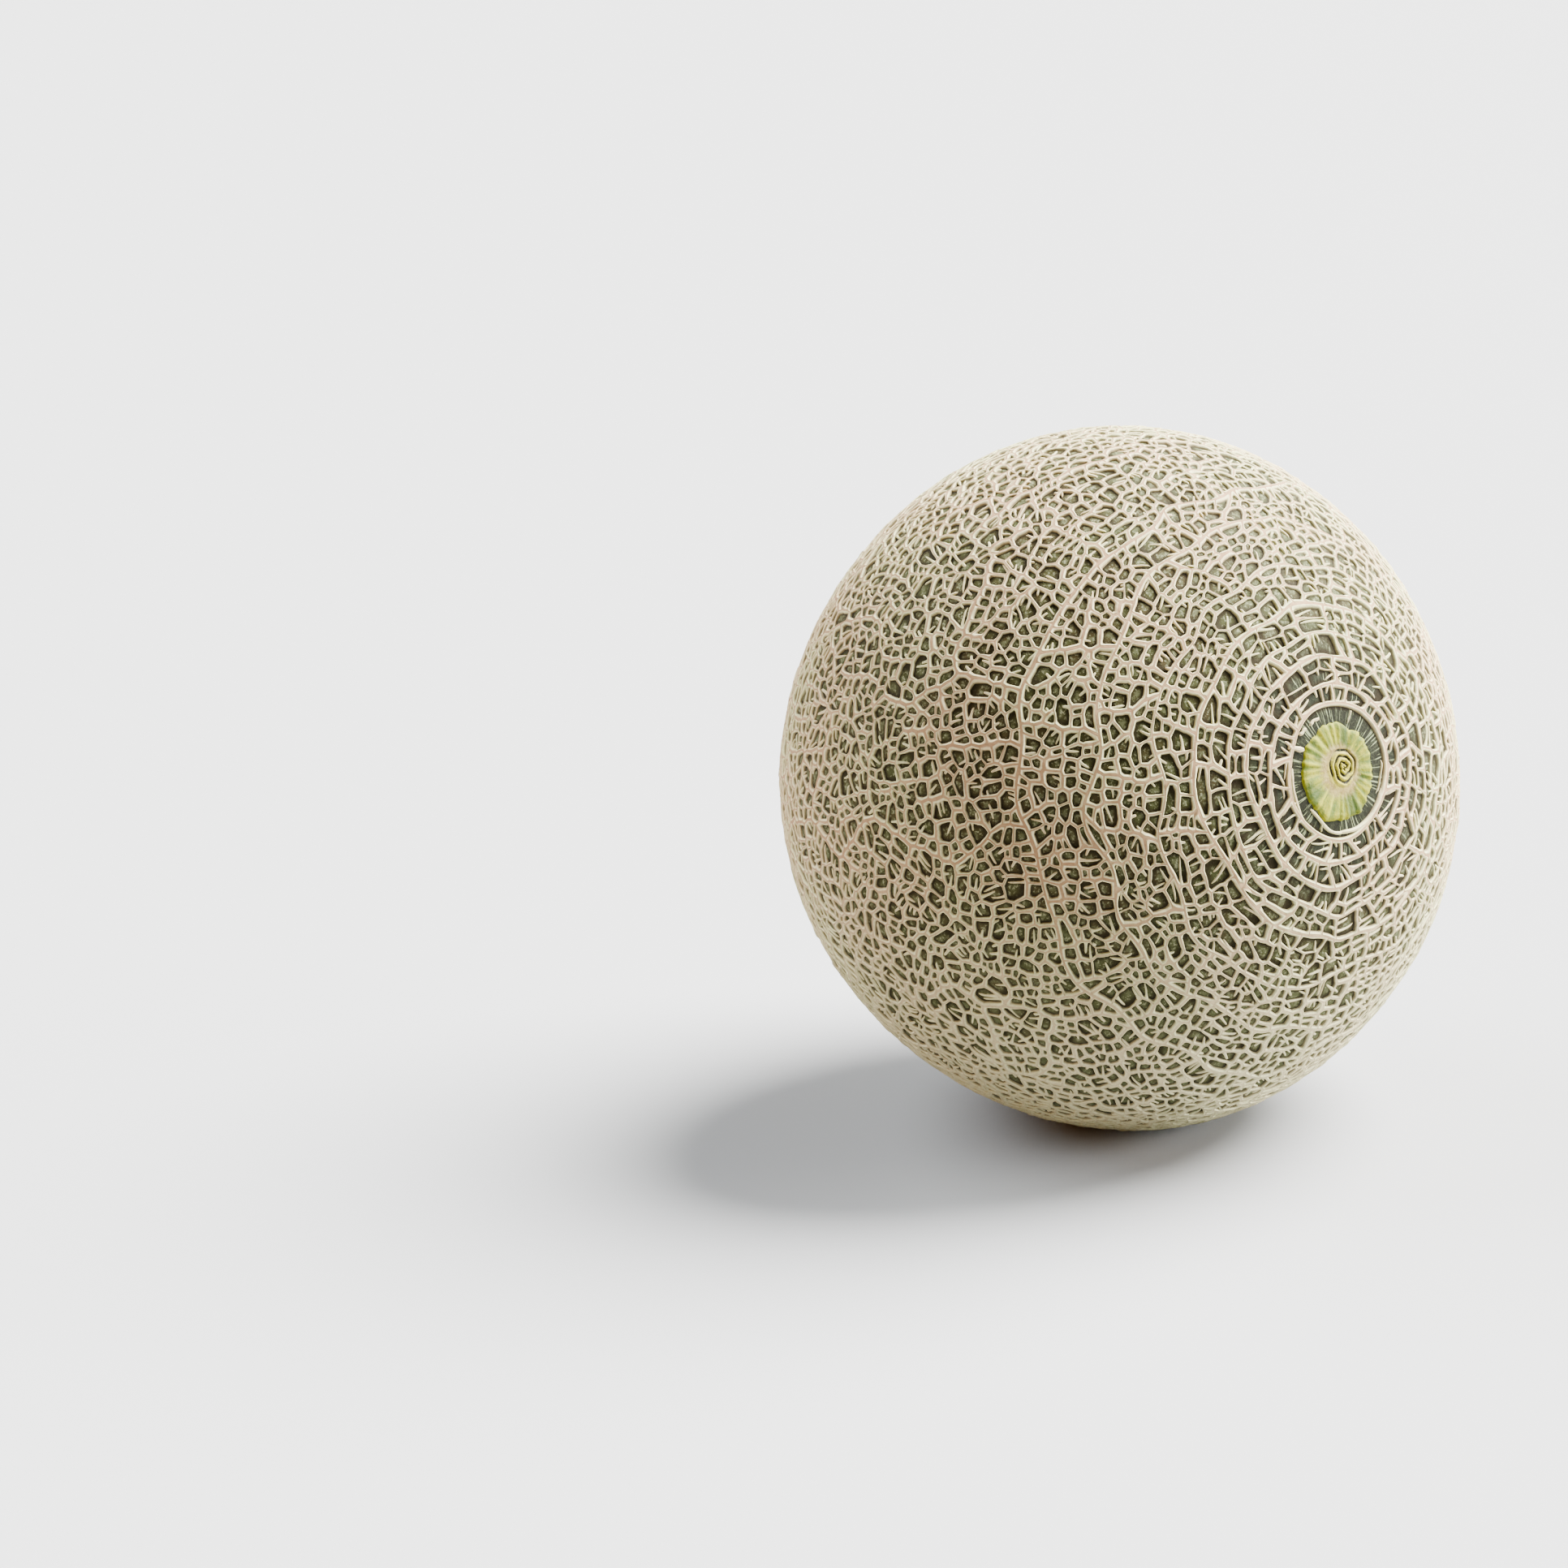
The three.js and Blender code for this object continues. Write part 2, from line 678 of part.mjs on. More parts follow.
const rind = new THREE.MeshStandardMaterial({ color: 0xb9ab8c, roughness: 0.8, flatShading: true });
const melon = new THREE.Mesh(melonGeometry(), rind);
melon.name = 'melon';

const fruit = new THREE.Group();
fruit.add(melon);

export default fruit;
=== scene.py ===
"""A whole netted melon: dark green skin, the corky net that grew over it, and the scars at its two ends.

The net grows here by the solid's rule and from the same seed, and goes on into finer cords. Lengths are in
metres and angles in radians unless a comment says otherwise.
"""

import functools
import heapq
import math

import bpy
import numpy as np
from bpy.props import FloatProperty, FloatVectorProperty, IntProperty, PointerProperty
from mathutils import Matrix, Vector


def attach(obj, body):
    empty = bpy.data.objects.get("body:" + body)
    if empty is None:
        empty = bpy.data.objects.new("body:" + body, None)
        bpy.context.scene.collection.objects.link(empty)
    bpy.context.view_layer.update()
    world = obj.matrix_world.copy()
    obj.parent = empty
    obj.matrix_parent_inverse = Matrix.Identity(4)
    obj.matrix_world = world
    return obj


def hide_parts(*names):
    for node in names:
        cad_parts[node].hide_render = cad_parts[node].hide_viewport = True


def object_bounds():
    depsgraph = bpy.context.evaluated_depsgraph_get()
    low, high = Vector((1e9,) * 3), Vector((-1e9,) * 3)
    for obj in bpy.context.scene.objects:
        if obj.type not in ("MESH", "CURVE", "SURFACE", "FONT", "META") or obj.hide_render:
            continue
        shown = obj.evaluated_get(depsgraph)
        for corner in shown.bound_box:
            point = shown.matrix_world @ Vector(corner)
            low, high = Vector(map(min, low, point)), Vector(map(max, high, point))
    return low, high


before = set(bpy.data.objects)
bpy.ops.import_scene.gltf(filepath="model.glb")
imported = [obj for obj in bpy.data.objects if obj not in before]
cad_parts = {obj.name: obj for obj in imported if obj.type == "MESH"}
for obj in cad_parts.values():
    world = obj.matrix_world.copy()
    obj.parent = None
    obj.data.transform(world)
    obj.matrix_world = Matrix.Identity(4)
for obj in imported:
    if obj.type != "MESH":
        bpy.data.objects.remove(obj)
CAD_LOW, CAD_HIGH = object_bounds()

bl_info = {
    "name": "Netted Melon",
    "version": (1, 0, 0),
    "blender": (4, 5, 0),
    "location": "View3D > Sidebar > Melon",
    "description": "Dresses a solid melon with its skin, its corky net and its scars",
    "category": "Add Mesh",
}

NODE = "melon"
BODY = "root"
NET_ZONES = ("net_stem_end", "net_shoulder", "net_girth", "net_blossom_end")

MM = 0.001
DEG = math.pi / 180
ROUND = 2 * math.pi
TINY = 1e-12                        # keeps divisions by 0 away
WHITE = (1, 1, 1)
BLACK = (0, 0, 0)

# The body
LUMP_SEED = 7                       # of the slow waves that make it uneven
LUMP_WAVES = 6
LUMP_PITCH = (2, 5)                 # radians of such a wave for each radius of the melon, least and most
END_DIP = 1.4 * MM                  # how far both ends are sunk
END_DIP_SPAN = 15 * DEG             # how wide the sunk ends are

# The rings of the net round both scars: degrees from each end, and degrees that each strays
STEM_RINGS = ((10.8, 0.4), (14.2, 0.6), (18, 0.8), (22.2, 1), (27.5, 1.4), (35, 1.9), (44, 2.4), (54.5, 3))
BLOSSOM_RINGS = ((12, 0.8), (8, 0.5), (4.6, 0.2))
RING_WAVE = 0.24                    # radians of a ring for each of its waves
RING_FADE = 0.7                     # how fast its waves get lower as they get shorter

# The bars between the rings, counted from the stem to the other end
STEM_BARS = (9, 11, 11, 12, 12, 11, 10)
LONG_BARS = 6
BLOSSOM_BARS = (9, 8)
BAR_SPREAD = 0.3                    # how unevenly they stand, in their own pitch
BAR_LEAN = 0.25                     # how far they lean

# How a cord splits a cell
BEND = 0.09                         # how far it strays sideways, as a share of its length
FIRST_WAVES = 4                     # the waves that even a short cord has
BEND_WAVE = 0.16                    # radians of a cord for each wave more
TRIES = 6                           # the ways across that are compared
TURN = 0.6                          # radians that it may turn from the short way across a cell
TURN_HELD = 0.6                     # how much of that turn is taken away round the stem
OFF_MIDDLE = 0.25                   # how far from the middle of a cell it may run, in the cell's size
LEAST_SHARE = 0.14                  # of a cell, in the smaller half
WIDEST_TURN = 1.1                   # radians to each side in which it looks for a place to end
STRAYING = 2.0                      # the cost of straying from the chosen way
SLANT = 1.4                         # the cost of meeting the outline at a slant
CROWD = (1.0, 1.9, 1.35, 1.12)      # the cost of a junction one, two and three steps from another

# How the cells change towards the stem: each span runs from where that holds in full to where it ends
UNEVEN = 0.6                        # how much the sizes of the cells differ everywhere
STEM_CELL = 1.9                     # how much larger they are at the stem scar
STEM_CELL_SPAN = (12 * DEG, 40 * DEG)
STEM_GRAIN = 0.6                    # how much longer they are along the rings
STEM_GRAIN_SPAN = (10 * DEG, 60 * DEG)
STEM_PULL_SPAN = (20 * DEG, 70 * DEG)   # where cords keep to the rings' way or run across it

# How the grown net settles and is pushed to and fro
RELAX_ROUNDS = 14
RELAX_PULL = 0.4                    # the share of the way to its neighbours that a point goes in a round
SWAY_WAVES = (0.35, 0.2, 0.12)      # radians of each wave
SWAY_SEEDS = (11, 12, 13)           # one for each axis
STEM_HOLD = (10 * DEG, 0.15)        # where it is held at the stem scar, and the least share of the push
BLOSSOM_HOLD = (4 * DEG, 0.1)       # the same at the blossom scar
HOLD_SPAN = 8 * DEG                 # from there to where it is free

# How thick the cords are, in their own widths
WIDEST_CORD = 1.4 * MM
THICK_LEAST = 0.85                  # up to THICK_FROM from the stem
THICK_GAIN = 0.15                   # what is added by THICK_SPAN further on
THICK_FROM = 14 * DEG
THICK_SPAN = 24 * DEG
THINNEST = 0.5                      # the least that bulges leave
BULGE = 0.2                         # how far cords swell and shrink along their way
BULGE_WAVES = (0.06, 0.03)          # radians of each wave
BULGE_SEED = 21
FIRST_RING_LEAST = 0.85             # of the ring round the stem scar
FIRST_RING_GAIN = 0.35              # what is added where it is thickest
FIRST_RING_TURN = 0.2               # radians from its right side to that place

# How high the cords are
HEIGHT_LEAST = 0.15 * MM
HEIGHT_GAIN = 0.3                   # for each unit of width
HEIGHT_UNEVEN = 0.1
HEIGHT_WAVES = (0.05,)              # radians of each wave
HEIGHT_SEED = 22

# Across half a cord, from its centre line to its foot: the level and the share of its height there
CREST_SHARE = 0.8
CORD_ROWS = ((0.4, 1.0), (0.78, 0.7), (1.04, 0.0))
PLATE_ROWS = (0.55, 0.25, 0.06)     # the same in a closed cell: shares of the way from middle to outline
FOOT_SUNK = 0.2 * MM                # how deep in the skin a foot lies

# The skin, whose depth is 0 under the cords and 1 in the middle of a cell, with a tone for each cell
SKIN_SEED = 5
SKIN_SUNK = 0.25 * MM               # under the cords
SKIN_RISE = 0.12 * MM               # in the middle of a cell
MEAN_TONE = 0.5                     # under the cords
CAP_ROWS = 9                        # of the skin inside the innermost ring at each end
CAP_DEPTH = 0.7
CAP_TONE = 0.4

# Spurs: thin cords that stop short inside a cell
SPUR_SEED = 9
SPUR_TRIES = 7                      # for each cell
SPUR_CHANCE = 0.88                  # the greatest that a try has
SPUR_ROOM = (0.4, 1.0)              # millimetres inside a cell where the chance leaves 0 and would be 1
SPUR_BESIDE = 0.72                  # the share of the tries that start beside the one before
SPUR_APART = 0.66 * MM              # the least distance between two
SPUR_GAP = 0.08 * MM                # the least way from the tip to another cord
SPUR_LEAST = 0.5 * MM               # the least length
SPUR_INWARD = 0.6                   # how much it heads for the cell's middle instead of squarely inwards
SPUR_TURN = 0.25                    # radians of its random turn
SPUR_BEND = 0.2                     # and of its bend
SPUR_FAR = 2.2                      # how far it looks, in distances to the cell's middle
SPUR_LENGTHS = (0.5, 1.15)          # the share of its free way that it takes, cut off at 1
SPUR_ROOT = 0.35                    # where it starts, as a share of the way out of the cord
SPUR_HALF = 0.28 * MM               # half its width
SPUR_HEIGHT = 0.34 * MM
SPUR_SIZES = (0.8, 1.35)            # how unlike they are, least and most
SPUR_WIDTH = (2.0, 1.35, 1.05, 1.0, 0.95, 0.85, 0.45)   # shares of the width from root to tip
SPUR_RISE = (1.0, 1.0, 0.95, 0.95, 0.9, 0.7, -0.3)      # and of the height

# Across a thin cord: the side, the level as on the net and the share of its height
RIDGE = ((-1, 1.0, 0.0), (-0.6, 0.7, 0.8), (0, 0.35, 1.0), (0.6, 0.7, 0.8), (1, 1.0, 0.0))
RIDGE_WIDE = 0.3                    # the millimetres of width that its cork is coloured for

# Loose cords between the stem scar and the first ring, seen from the stem end with the right at 0:
# degrees and radius of both ends, and the width, in millimetres
MOAT_CORDS = (
    ((166, 12.3), (224, 13.3), 0.75),
    ((214, 10.3), (268, 12.2), 0.9),
    ((262, 12.1), (338, 13.4), 1.15),
    ((329, 11.9), (361, 12.9), 0.4),
    ((134, 12.5), (123, 12.1), 0.8),
    ((118, 12.0), (103, 11.9), 0.75),
    ((150, 13.8), (143, 10.2), 1.25),
    ((196, 12.7), (199, 14.2), 0.5),
    ((236, 11.2), (239, 12.6), 0.35),
    ((62, 10.4), (60, 13.0), 0.35),
    ((305, 12.8), (308, 14.6), 0.5),
)
MOAT_POINTS = 24                    # along each of them
MOAT_SWAY = (0.12, 9)               # millimetres to and fro, and radians from end to end
MOAT_SWELL = (0.15, 13)             # the share that is added and taken, and radians from end to end
MOAT_TAPER = (0.25, 6)              # the share at both ends, and how fast it grows
MOAT_HEIGHT = (0.3, 0.2)            # in millimetres, at no width, and more for each unit of width

# The stem scar in millimetres. Rows pair shares of its radius with its height there, or its folds' height,
# and ripples have the numbers of their waves and a seed
STEM_SCAR_AROUND = 150
STEM_SCAR_STEPS = np.linspace(1, 0.012, 52) ** 1.15
STEM_SCAR_ROWS = (
    (0, 0.5), (0.3, 0.55), (0.38, 0.3), (0.5, 0.28), (0.7, 0.5), (0.88, 0.62), (0.96, 0.4), (1, -0.3))
STEM_EDGE = 0.28                    # how far the rim goes in and out
STEM_EDGE_RIPPLES = ((5, 7, 11), 4)
FOLD_ROWS = ((0.42, 0), (0.7, 0.13), (0.95, 0.16), (1, 0))
FOLD_EDGE = 0.1                     # how far the folds push the rim out
FOLD_RIPPLES = ((13, 19, 23, 31, 37), 3)

# The core of the stem scar, in millimetres: a spiral crevice winds through it
CORE_OFFSET = (1.6, 0.8)            # from the scar's middle
CORE_PULL = 1.5                     # how closely the scar's rows gather round it
CORE_RADIUS = 3.9
CORE_PITCH = 1.3                    # of the spiral
CORE_SWAYS = ((0.12, 3, 1), (0.06, 7, 0))   # of the spiral, in turns: reach, waves and start
CORE_ROWS = ((0, 0.6), (0.5, 1), (CORE_RADIUS - 0.6, 1), (CORE_RADIUS + 0.4, 0))   # how strong it is
CORE_RIDGE = 0.16                   # how high it winds over and under the scar
CREVICE_DEPTH = 0.45
CREVICE_FROM = 0.25                 # how low between the ridges it starts
CREVICE_SPAN = 0.6                  # how much lower it is whole
CREVICE_BREAKS = (0.65, 0.35, 4, 2.2)   # its mean, its changes, their waves round it and radians outwards

# The blossom scar, in the same way
BLOSSOM_SCAR_AROUND = 72
BLOSSOM_SCAR_STEPS = np.linspace(1, 0.02, 26)
BLOSSOM_SCAR_ROWS = ((0, 0.5), (0.14, 0.45), (0.24, 0.1), (0.5, 0.3), (0.8, 0.5), (0.95, 0.3), (1, -0.3))
BLOSSOM_EDGE = 0.22
BLOSSOM_EDGE_RIPPLES = ((3, 5, 8), 6)
BLOSSOM_LUMP_ROWS = ((0, 0), (0.3, 0.05), (0.8, 0.08), (1, 0))
BLOSSOM_LUMP_RIPPLES = ((7, 9, 13), 8)

# What the materials need
CHART_SHARE = 0.94                  # of its place in the UV map, in each chart
STREAK_STRETCH = 0.25               # the smaller, the longer the streaks away from the stem
# Paler towards the bottom: partly the spot where the fruit lay and partly painted light thrown up by the
# floor
UNDERSIDE = (12 * MM, 75 * MM)      # the heights up to which it is at its palest, and where that ends
UNDERSIDE_RAGGED = 20 * MM          # how uneven that end is

# The stage
FLOOR_REACH = 6.0                   # half its width, and the radius of the round wall
WALL_HEIGHT = 6.0
WALL_SIDES = 64
PAINT_ROUGHNESS = 0.9
PAINT_SPECULAR = 0.1
KEY_LAMP = (121, 50, 46)            # degrees from the camera round to the right, above the level, softness
RIM_LAMP = (-110, 40, 50)
SIDE_LAMP = (98, 4, 40)
BOUNCE_LAMP = (-64, 4, 50)
IMAGE_SIZE = 1932                   # pixels each way
SENSOR = 36.0                       # millimetres


class Draw:
    """Seeded draws, the same on every run."""

    def __init__(self, seed):
        self.state = seed

    def unit(self):
        self.state = self.state * 16807 % 2147483647
        return self.state / 2147483647

    def spread(self, most):
        return (2 * self.unit() - 1) * most


def dot(a, b):
    return a[0] * b[0] + a[1] * b[1] + a[2] * b[2]


def cross(a, b):
    return (a[1] * b[2] - a[2] * b[1], a[2] * b[0] - a[0] * b[2], a[0] * b[1] - a[1] * b[0])


def unit(a):
    length = math.sqrt(dot(a, a))
    return (a[0] / length, a[1] / length, a[2] / length)


def along(a, p, b, q):
    return (a[0] * p + b[0] * q, a[1] * p + b[1] * q, a[2] * p + b[2] * q)


def between(a, b):
    c = cross(a, b)
    return math.atan2(math.sqrt(dot(c, c)), dot(a, b))


def polar(theta, phi):
    return (math.sin(theta) * math.cos(phi), math.sin(theta) * math.sin(phi), math.cos(theta))


def smooth(value, low, high):
    share = min(1.0, max(0.0, (value - low) / (high - low)))
    return share * share * (3 - 2 * share)


def area_of(flat):
    return 0.5 * sum(a[0] * b[1] - b[0] * a[1] for a, b in zip(flat, flat[1:] + flat[:1]))


def roundness(flat):
    """1 for a circle, and less for any other outline."""
    length = sum(math.hypot(a[0] - b[0], a[1] - b[1]) for a, b in zip(flat, flat[1:] + flat[:1]))
    return 4 * math.pi * area_of(flat) / length**2


def steps_to_next(busy):
    """Steps along a closed outline from each point to the nearest busy one."""
    count = len(busy)
    steps = [0 if taken else count for taken in busy]
    for k in range(2 * count):
        steps[k % count] = min(steps[k % count], steps[(k - 1) % count] + 1)
    for k in range(2 * count, 0, -1):
        steps[(k - 1) % count] = min(steps[(k - 1) % count], steps[k % count] + 1)
    return steps


def arc(ring, first, last):
    """The ids from one place of a ring to another, both included."""
    count = len(ring)
    return [ring[k % count] for k in range(first, last + (count if last <= first else 0) + 1)]


class Net:
    """The net on a unit sphere, with the stem at +Z. It forms as the skin of the fruit cracks: each cell
    is split by a cord from side to side, the largest first, and the older cords grow the strongest."""

    def __init__(self, seed, step, common_cell):
        self.draw = Draw(seed)
        self.step = step
        self.common_cell = common_cell
        self.points = []
        self.owner = []
        self.junction = []
        self.cords = []
        self.heap = []
        self.kept = 0

    def add(self, point):
        """A new point of the cord that comes next."""
        self.points.append(point)
        self.owner.append(len(self.cords))
        self.junction.append(False)
        return len(self.points) - 1

    def wander(self, first, last):
        """Points between two others, straying to both sides of the straight way."""
        a, b = self.points[first], self.points[last]
        whole = between(a, b)
        count = max(1, round(whole / self.step) - 1)
        waves = [self.draw.spread(BEND / (k + 1)) for k in range(FIRST_WAVES + round(whole / BEND_WAVE))]
        side = unit(cross(a, b))
        made = []
        for i in range(1, count + 1):
            t = i / (count + 1)
            on = unit(along(a, math.sin((1 - t) * whole), b, math.sin(t * whole)))
            stray = whole * sum(w * math.sin((k + 1) * math.pi * t) for k, w in enumerate(waves))
            made.append(self.add(unit(along(on, 1, side, stray))))
        return made

    def bridge(self, first, last):
        """A new cord between two points, which become junctions."""
        self.junction[first] = self.junction[last] = True
        inner = self.wander(first, last)
        self.cords.append([first, *inner, last])
        return inner

    def ring(self, theta, wobble):
        """A closed cord round the axis, which strays from its angle off the stem."""
        count = round(ROUND * math.sin(theta) / self.step)
        waves = []
        for k in range(1, 1 + round(ROUND * math.sin(theta) / RING_WAVE)):
            reach = self.draw.spread(wobble / k**RING_FADE)
            waves.append((k, reach, self.draw.unit() * ROUND))
        ids = []
        for i in range(count):
            phi = ROUND * i / count
            stray = sum(reach * math.cos(k * phi + start) for k, reach, start in waves)
            ids.append(self.add(polar(theta + stray, phi)))
        self.cords.append([*ids, ids[0]])
        return ids

    def free_near(self, ids, phi):
        """The place in a ring next to an angle that has no junction on it or beside it."""
        count = len(ids)
        i = round(phi / ROUND * count) % count
        while any(self.junction[ids[(i + k) % count]] for k in (-1, 0, 1)):
            i = (i + 1) % count
        return i

    def band(self, upper, lower, bars):
        """Cuts the band between two rings into cells."""
        start = self.draw.unit()
        pitch = ROUND / bars
        made = []
        for k in range(bars):
            phi = (k + start + self.draw.spread(BAR_SPREAD)) * pitch % ROUND
            i = self.free_near(upper, phi)
            j = self.free_near(lower, (phi + self.draw.spread(BAR_LEAN) * pitch) % ROUND)
            made.append((i, j, self.bridge(upper[i], lower[j])))
        made.sort()
        for k, (i, j, inner) in enumerate(made):
            next_i, next_j, next_inner = made[(k + 1) % bars]
            top = arc(upper, i, next_i)
            bottom = arc(lower, j, next_j)
            self.keep(bottom + next_inner[::-1] + top[::-1] + inner)

    def flatten(self, loop):
        """The cell's height on the sphere, and its outline laid flat round its middle."""
        points = [self.points[i] for i in loop]
        middle = (0.0, 0.0, 0.0)
        for a, b in zip(points, points[1:] + points[:1]):
            middle = along(middle, 1, along(a, 1, b, 1), between(a, b))
        middle = unit(middle)
        east = unit(cross((0, 0, 1), middle))
        north = cross(middle, east)
        flat = []
        for point in points:
            x, y = dot(point, east), dot(point, north)
            reach = math.hypot(x, y)
            share = between(point, middle) / reach if reach > 0 else 1
            flat.append((x * share, y * share))
        return math.acos(max(-1.0, min(1.0, middle[2]))), flat

    def keep(self, loop):
        """Puts a cell among those to split, weighed by its size for the place where it lies."""
        theta, flat = self.flatten(loop)
        target = self.common_cell * (STEM_CELL + (1 - STEM_CELL) * smooth(theta, *STEM_CELL_SPAN))
        weight = abs(area_of(flat)) / target * math.exp(self.draw.spread(UNEVEN))
        heapq.heappush(self.heap, (-weight, self.kept, loop))
        self.kept += 1

    def target(self, flat, free, start, face):
        """The point of a cell's outline that a cord would reach, going a given way from a given place:
        near, straight on, away from other junctions, and meeting the outline squarely."""
        found, least = None, math.inf
        for k, (x, y) in enumerate(flat):
            if free[k] == 0:
                continue
            x, y = x - start[0], y - start[1]
            away = abs((math.atan2(y, x) - face + math.pi) % ROUND - math.pi)
            if away > WIDEST_TURN:
                continue
            before, after = flat[k - 1], flat[(k + 1) % len(flat)]
            side = (after[0] - before[0], after[1] - before[1])
            reach = math.hypot(x, y)
            slant = (x * side[0] + y * side[1]) / (reach * math.hypot(*side))
            crowded = CROWD[free[k]] if free[k] < len(CROWD) else 1
            cost = reach * (1 + STRAYING * away * away) * (1 + SLANT * slant * slant) * crowded
            if cost < least:
                found, least = k, cost
        return found

    def best_cut(self, loop):
        """The two points of a cell's outline to join: the try that leaves the roundest, most even cells."""
        theta, flat = self.flatten(loop)
        stretch = 1 + STEM_GRAIN * (1 - smooth(theta, *STEM_GRAIN_SPAN))
        pull = 1 - smooth(theta, *STEM_PULL_SPAN)
        flat = [(x, y * stretch) for x, y in flat]
        way, size = longest_way(flat)
        quarter = round(way / (math.pi / 2)) * (math.pi / 2)
        length_way = way + (quarter - way) * pull
        whole = area_of(flat)
        free = steps_to_next([self.junction[i] for i in loop])
        best = None
        for _ in range(TRIES):
            face = length_way + math.pi / 2 + self.draw.spread(TURN * (1 - TURN_HELD * pull))
            off = self.draw.spread(OFF_MIDDLE) * size
            start = (off * math.cos(length_way), off * math.sin(length_way))
            ends = [self.target(flat, free, start, turned) for turned in (face, face + math.pi)]
            if None in ends or ends[0] == ends[1]:
                continue
            i, j = sorted(ends)
            parts = (flat[i : j + 1], flat[j:] + flat[: i + 1])
            share = min(area_of(part) for part in parts) / whole
            if share < LEAST_SHARE:
                continue
            score = share**0.5 * min(roundness(part) for part in parts)
            if best is None or score > best[0]:
                best = (score, i, j)
        return best[1:] if best else None

    def grow(self, most):
        """Splits the largest cell again and again, until there are enough."""
        done = []
        while self.heap and len(self.heap) + len(done) < most:
            weight, _, loop = heapq.heappop(self.heap)
            cut = self.best_cut(loop) if weight < -1 else None
            if cut is None:
                done.append(loop)
                continue
            i, j = cut
            inner = self.bridge(loop[i], loop[j])
            self.keep(loop[i : j + 1] + inner[::-1])
            self.keep(loop[j:] + loop[: i + 1] + inner)
        return done + [loop for _, _, loop in self.heap]


def longest_way(flat):
    """The direction in which an outline is longest, and its size that way."""
    xx = xy = yy = whole = 0.0
    for a, b in zip(flat, flat[1:] + flat[:1]):
        length = math.hypot(a[0] - b[0], a[1] - b[1])
        x, y = (a[0] + b[0]) / 2, (a[1] + b[1]) / 2
        xx += length * x * x
        xy += length * x * y
        yy += length * y * y
        whole += length
    return 0.5 * math.atan2(2 * xy, xx - yy), math.sqrt(max(xx, yy) / whole)


def relaxed(points, cords, width, free):
    """The points pulled towards their neighbours along the cords: young cords meet at even angles, and
    old ones, which pull harder, stay smooth. Points that aren't free stay where they are."""
    first = np.concatenate([cord[:-1] for cord in cords])
    last = np.concatenate([cord[1:] for cord in cords])
    pull = np.repeat(width, [len(cord) - 1 for cord in cords])[:, None]
    count = np.zeros((len(points), 1))
    np.add.at(count, first, pull)
    np.add.at(count, last, pull)
    for _ in range(RELAX_ROUNDS):
        total = np.zeros_like(points)
        np.add.at(total, first, points[last] * pull)
        np.add.at(total, last, points[first] * pull)
        points = points + RELAX_PULL * free[:, None] * (total / count - points)
        points /= np.linalg.norm(points, axis=1)[:, None]
    return points


def waves_over(points, seed, lengths, each=6):
    """A slow random sum of waves over the unit sphere, about -1 to 1, for each of the lengths given."""
    random = np.random.RandomState(seed)
    total = np.zeros(len(points))
    for length in lengths:
        for _ in range(each):
            way = random.normal(size=3)
            way *= ROUND / length / np.linalg.norm(way)
            total += np.sin(points @ way + random.uniform(0, ROUND)) * math.sqrt(2 / each)
    return total / math.sqrt(len(lengths))


def directions_at(theta, phi, side=1):
    """Directions from their angles off the stem's axis, or with side -1 off the blossom's, and round it."""
    return np.stack([np.sin(theta) * np.cos(phi), np.sin(theta) * np.sin(phi), np.cos(theta) * side], -1)


def from_end(directions, side=1):
    """Angles off the stem's axis, or with side -1 off the blossom's."""
    return np.arccos(np.clip(directions[:, 2] * side, -1, 1))


def round_axis(directions):
    """Angles round the axis, from the right as seen from the stem end."""
    return np.arctan2(directions[:, 1], directions[:, 0])


def let_go(angle, start, least):
    """How freely points move that lie at an angle from a scar: least next to it and 1 far off."""
    return np.clip((angle - start) / HOLD_SPAN, least, 1)


def swayed(points, reach):
    """The whole net pushed a little to and fro, less near the two scars."""
    push = np.stack([waves_over(points, seed, SWAY_WAVES) for seed in SWAY_SEEDS], 1)
    theta = from_end(points)
    free = let_go(theta, *STEM_HOLD) * let_go(math.pi - theta, *BLOSSOM_HOLD)
    points = points + push * (reach * free)[:, None]
    return points / np.linalg.norm(points, axis=1)[:, None]


